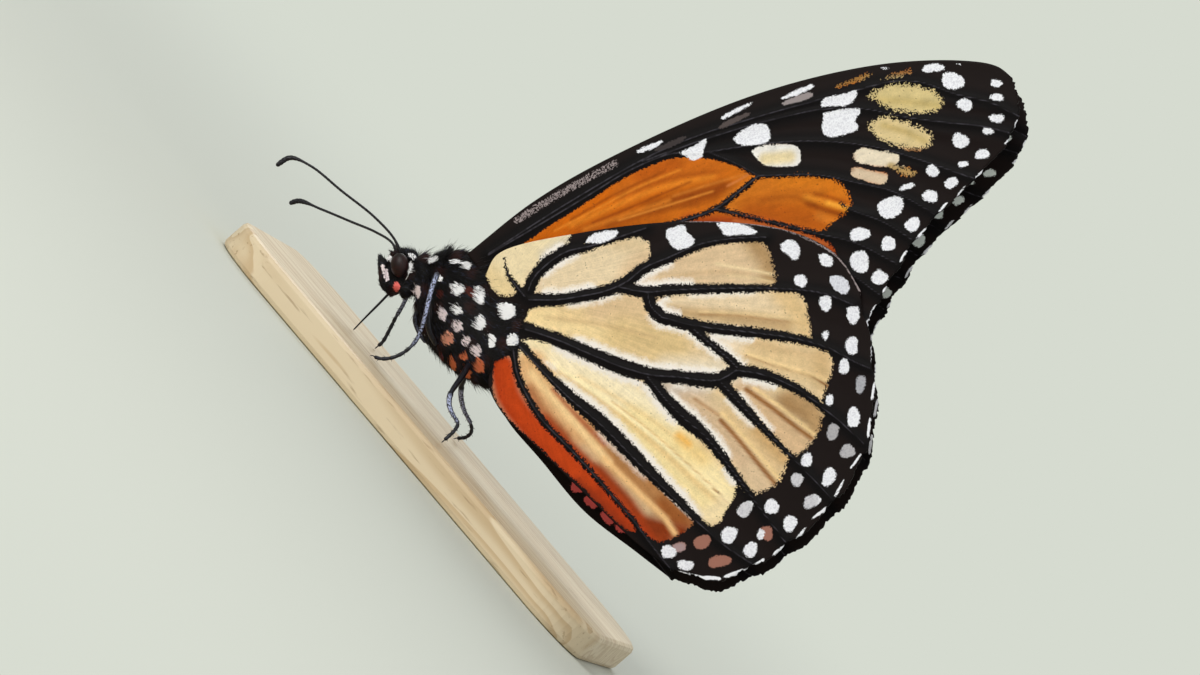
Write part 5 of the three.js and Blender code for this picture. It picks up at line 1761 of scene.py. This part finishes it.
def tube_along(name, route, radii, sides=12, rings=80, flat=1.0):
    """A closed tube. route lists [x, z, y]; radii lists (share of the length, radius)."""
    select_only()
    bpy.ops.mesh.primitive_uv_sphere_add(segments=sides, ring_count=rings, radius=1)
    made = bpy.context.object
    made.name = name
    start = corners_of(made.data)
    share = np.arccos(np.clip(start[:, 2], -1, 1)) / math.pi
    angle = np.arctan2(start[:, 1], start[:, 0])
    line = smooth_line([(x, y, z) for x, z, y in route], ROUTE_POINTS)
    along = unit(np.gradient(line, axis=0))
    aside = unit(np.cross(along, [0, 1, 0]))
    over = np.cross(along, aside)
    even = np.linspace(0, 1, ROUTE_POINTS)

    def at_share(values):
        return rows_at(share, even, values)

    reach = read_off(share, radii)
    reach *= np.sqrt(np.clip(np.minimum(share, 1 - share) * rings * 0.7, 0, 1))
    around = at_share(aside) * np.cos(angle)[:, None] * flat + at_share(over) * np.sin(angle)[:, None]
    place_corners(made.data, to_world(at_share(line) + around * reach[:, None]))
    store(made.data, "share", share)
    store(made.data, "outer", np.abs(around[:, 1]))
    edit_all(bpy.ops.mesh.normals_make_consistent, inside=False)
    bpy.ops.object.shade_smooth()
    return made


def horn_finish(name, sheen):
    """Dark horn with a painted sheen, the shine of its scales, on its outer side. sheen is that side's
    colour.
    """
    made, tree, shader = new_material(name)
    place = add_node(tree, "ShaderNodeTexCoord").outputs["Object"]
    grain = add_node(tree, "ShaderNodeTexNoise", {"Vector": place, "Scale": GRAINS_PER_METRE, "Detail": 3.0})
    patchy = soft_step(tree, grain.outputs["Fac"], 0.4, 0.56)
    outer = soft_step(tree, attribute(tree, "outer"), 0.3, 0.85)
    share = product(tree, product(tree, outer, patchy), attribute(tree, "sheen"))
    tree.links.new(mixed(tree, share, HORN_BLACK, sheen), shader.inputs["Base Color"])
    set_surface(shader, 0.36, 0.22)
    add_bump(tree, shader, grain.outputs["Fac"], 0.35, 0.00004)
    return made


def finish_limb(limb, finish, sheen, node):
    """sheen is how strong the sheen is, as one number or as one for each corner."""
    store(limb.data, "sheen", np.broadcast_to(sheen, len(limb.data.vertices)))
    limb.data.materials.append(finish)
    finish_piece(limb, "limbs", node)


leg_horn = horn_finish("leg_horn", LEG_SHEEN)
feeler_horn = horn_finish("feeler_horn", FEELER_SHEEN)
print("materials:", leg_horn.name, feeler_horn.name)

# %% [markdown]
# A feeler is a thin rod of about forty short segments that swells to a club near its tip. One tube
# does for all of them, because its radius is pinched a little at every joint. The proboscis is the
# drinking tube, slightly flattened. At rest it is coiled, but here it reaches down.

# %% Antennae and proboscis
ANTENNA_ROUTES = {
    "left": [(-7.95, 4.5, -0.7), (-8.5, 5.9, -1.0), (-10.3, 7.9, -1.6), (-13.2, 10.2, -2.4),
             (-16.0, 12.45, -3.0), (-17.9, 13.2, -3.2), (-19.2, 12.45, -3.3)],
    "right": [(-8.4, 4.6, 0.7), (-9.1, 5.8, 1.3), (-10.8, 6.9, 2.5), (-13.5, 8.1, 4.2),
              (-16.5, 9.4, 5.6), (-18.8, 10.3, 6.5), (-19.8, 10.1, 6.8)],
}
SHAFT, CLUB = 0.125, 0.25
SEGMENTS = 42
STEPS = 4 * SEGMENTS
shaft = []
for i in range(STEPS + 1):
    share = i / STEPS
    swell = smoothstep(share, 0.8, 0.92) * (1 - 0.5 * smoothstep(share, 0.965, 1.0))
    socket = 0.6 * (1 - smoothstep(share, 0.03, 0.1))
    pinch = 0.9 if i % 4 == 0 else 1.0
    shaft.append((share, (SHAFT * (1 + socket) + (CLUB - SHAFT) * swell) * pinch))
for name, route in ANTENNA_ROUTES.items():
    antenna = tube_along(f"antenna_{name}_rod", route, shaft, sides=10, rings=STEPS)
    finish_limb(antenna, feeler_horn, 0.5, f"antenna_{name}")

PROBOSCIS_ROUTE = [(-8.1, 1.7, 0), (-8.9, 1.15, 0), (-10.1, -0.05, 0), (-11.3, -1.25, 0), (-12.4, -2.4, 0)]
PROBOSCIS_RADII = [(0, 0.16), (0.5, 0.14), (1, 0.08)]
proboscis = tube_along("proboscis_tube", PROBOSCIS_ROUTE, PROBOSCIS_RADII, rings=60, flat=0.8)
finish_limb(proboscis, feeler_horn, 0.3, "proboscis")

# %% [markdown]
# A leg has a stout thigh, a slender shin with a painted bluish sheen, the shine of its scales,
# and a foot of five joints with a pair of claws. The solids are thicker than life, so each foot
# made here is lowered a little, until its sole stands on the base.

# %% Routes and radii of the legs
LEGS = {
    # the knee's and the ankle's place in the list, then the route
    "midleg_left": (3, 6, [
        (-4.4, -3.9, -1.4), (-4.9, -2.3, -2.9), (-4.6, 0.6, -3.7), (-3.95, 2.5, -3.9), (-4.35, 1.3, -4.15),
        (-5.5, -3.1, -4.5), (-6.4, -4.5, -4.7), (-7.8, -5.45, -4.9), (-9.1, -5.65, -5.0),
        (-9.8, -5.45, -5.1),
    ]),
    "midleg_right": (3, 6, [
        (-4.8, -3.4, 1.5), (-5.4, -1.4, 2.9), (-6.1, 2.2, 3.7), (-6.5, 3.8, 3.9), (-7.3, 2.9, 4.1),
        (-8.7, 0.2, 4.4), (-9.5, -1.0, 4.6), (-10.3, -2.4, 4.8), (-10.9, -3.4, 4.95), (-11.4, -3.8, 5.1),
    ]),
    "hindleg_left": (2, 5, [
        (-1.3, -5.6, -1.3), (-1.9, -7.2, -3.2), (-2.5, -8.7, -4.9), (-2.55, -9.5, -5.3),
        (-2.3, -10.5, -5.8), (-1.9, -11.8, -6.4), (-2.2, -12.5, -6.8), (-2.7, -13.1, -7.2),
        (-3.1, -13.5, -7.4),
    ]),
    "hindleg_right": (2, 5, [
        (-1.9, -5.2, 1.3), (-2.4, -6.2, 3.0), (-3.0, -7.3, 4.6), (-3.1, -8.1, 5.0), (-2.9, -9.3, 5.5),
        (-2.5, -10.7, 6.1), (-2.6, -11.5, 6.5), (-3.2, -12.0, 6.9), (-4.1, -12.1, 7.2),
    ]),
}
KNEE, ANKLE = 0.385, 0.68
FOOT_JOINTS = 5
leg_radii = [(0, 0.28), (0.1, 0.3), (0.3, 0.26), (0.36, 0.22), (KNEE, 0.28), (0.43, 0.25), (0.5, 0.23),
             (0.62, 0.18), (0.66, 0.21)]
for joint in range(FOOT_JOINTS):
    start = ANKLE + (1 - ANKLE) * joint / FOOT_JOINTS
    end = ANKLE + (1 - ANKLE) * (joint + 1) / FOOT_JOINTS
    leg_radii += [(start, 0.13), (start + 0.01, 0.165), (end - 0.015, 0.19), (end - 0.004, 0.17)]
leg_radii.append((1.0, 0.13))
print("steps in a leg's radius:", len(leg_radii))

# %% Thorns and claws
THORNS = np.linspace(0.42, 0.97, 18)


def thorn(share, points, radius):
    """A thin pointed tube that belongs to the leg at that share of its length."""
    made = tube_along("thorn", [(x, z, y) for x, y, z in points], [(0, radius), (1, 0.2 * radius)], 5, 6)
    made.data.attributes["share"].data.foreach_set("value", np.full(len(made.data.vertices), share))
    return made


def thorns_and_claws(route):
    """Short thorns in two rows down the shin and foot, and two curved claws at its end."""
    line = smooth_line([(x, y, z) for x, z, y in route], ROUTE_POINTS)
    along = unit(np.gradient(line, axis=0))
    made = []
    for number, share in enumerate(THORNS):
        i = int(share * (ROUTE_POINTS - 1))
        aside = unit(np.cross(along[i], [0, 1, 0])) * (1 if number % 2 else -1)
        tip = line[i] + aside * 0.36 + along[i] * 0.22
        made.append(thorn(share, [line[i], (line[i] + tip) / 2, tip], 0.045))
    up = np.array([0, 0, 1]) @ TURN
    for across in (-1, 1):
        spread = np.array([0, across, 0])
        start = line[-1] - 0.15 * along[-1]
        bend = line[-1] + 0.16 * along[-1] + 0.1 * spread + 0.06 * up
        tip = line[-1] + 0.34 * along[-1] + 0.16 * spread - 0.06 * up
        made.append(thorn(1.0, [start, bend, tip], 0.07))
    return made


# %% Middle and hind legs
SOLE_DEPTH = 0.02
BASE_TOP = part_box("stand_base")[1].z
for name, (knee_point, ankle_point, route) in LEGS.items():
    steps = np.linalg.norm(np.diff(route, axis=0), axis=1)
    bends = [0, steps[:knee_point].sum() / steps.sum(), steps[:ankle_point].sum() / steps.sum(), 1]
    own_radii = [(np.interp(share, [0, KNEE, ANKLE, 1], bends), radius) for share, radius in leg_radii]
    leg = tube_along(f"{name}_limb", route, own_radii, sides=14, rings=130)
    select_only(leg, *thorns_and_claws(route))
    bpy.ops.object.join()
    places = corners_of(leg.data)
    share = np.empty(len(places))
    leg.data.attributes["share"].data.foreach_get("value", share)
    drop = places[share > 0.8][:, 2].min() - BASE_TOP - SOLE_DEPTH * MM
    places[:, 2] -= drop * smoothstep(share, 0.55, 0.92)
    place_corners(leg.data, places)
    share = np.interp(share, bends, [0, KNEE, ANKLE, 1])
    # The painted sheen lies on the shin and fades down it; the rest of the leg keeps a trace.
    shin = smoothstep(share, KNEE, 0.42) * (1 - smoothstep(share, 0.64, 0.7))
    finish_limb(leg, leg_horn, 0.04 + 0.96 * shin * (1 - 0.4 * smoothstep(share, 0.5, 0.62)), name)

# %% Forelegs
FORELEG_ROUTE = [(-5.9, -0.1, 0.7), (-6.5, -1.3, 0.85), (-6.2, -2.6, 0.9), (-5.5, -3.7, 0.95)]
FORELEG_RADII = [(0, 0.2), (0.4, 0.24), (1, 0.12)]
for side, name in SIDES:
    route = [(x, z, side * y) for x, z, y in FORELEG_ROUTE]
    foreleg = tube_along(f"foreleg_{name}_limb", route, FORELEG_RADII, rings=40)
    finish_limb(foreleg, leg_horn, 0.1, f"foreleg_{name}")

# %% [markdown]
# The base is a plain board of pale wood, so it keeps its CAD shape and only gets a grain. Growth
# rings are a noise stretched along the board, and pores are a finer noise stretched the same way.

# %% Wood of the base
BOARD_LIGHT, BOARD_DARK, PORE = srgb(214, 196, 164), srgb(186, 158, 118), srgb(140, 112, 80)
ALONG_THE_GRAIN = 0.09
WARPS_PER_METRE, PORES_PER_METRE, RINGS_PER_WARP = 160.0, 2600.0, 9.0

board_finish, tree, shader = new_material("pale_wood")
place = add_node(tree, "ShaderNodeTexCoord").outputs["Object"]
drawn_out = add_node(tree, "ShaderNodeMapping",
                     {"Vector": place, "Scale": (ALONG_THE_GRAIN, 1.0, 1.0)}).outputs[0]
warp = add_node(tree, "ShaderNodeTexNoise", {"Vector": drawn_out, "Scale": WARPS_PER_METRE, "Detail": 2.0})
rings = computed(tree, "FRACT", product(tree, warp.outputs["Fac"], RINGS_PER_WARP))
late = product(tree, soft_step(tree, rings, 0.25, 0.9), soft_step(tree, rings, 1.0, 0.93))
pores = add_node(tree, "ShaderNodeTexNoise",
                 {"Vector": drawn_out, "Scale": PORES_PER_METRE, "Detail": 3.0})
pore = soft_step(tree, pores.outputs["Fac"], 0.6, 0.72)
wood = mixed(tree, product(tree, late, 0.7), BOARD_LIGHT, BOARD_DARK)
tree.links.new(mixed(tree, product(tree, pore, 0.5), wood, PORE), shader.inputs["Base Color"])
set_surface(shader, 0.42, 0.35)
tree.links.new(scaled_sum(tree, pore, 0.25, 0.42), shader.inputs["Roughness"])
add_bump(tree, shader, computed(tree, "SUBTRACT", product(tree, late, 0.4), pore), 0.25, 0.00003)
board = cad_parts["stand_base"]
board.material_slots[0].material = board_finish
print("base:", board.name)
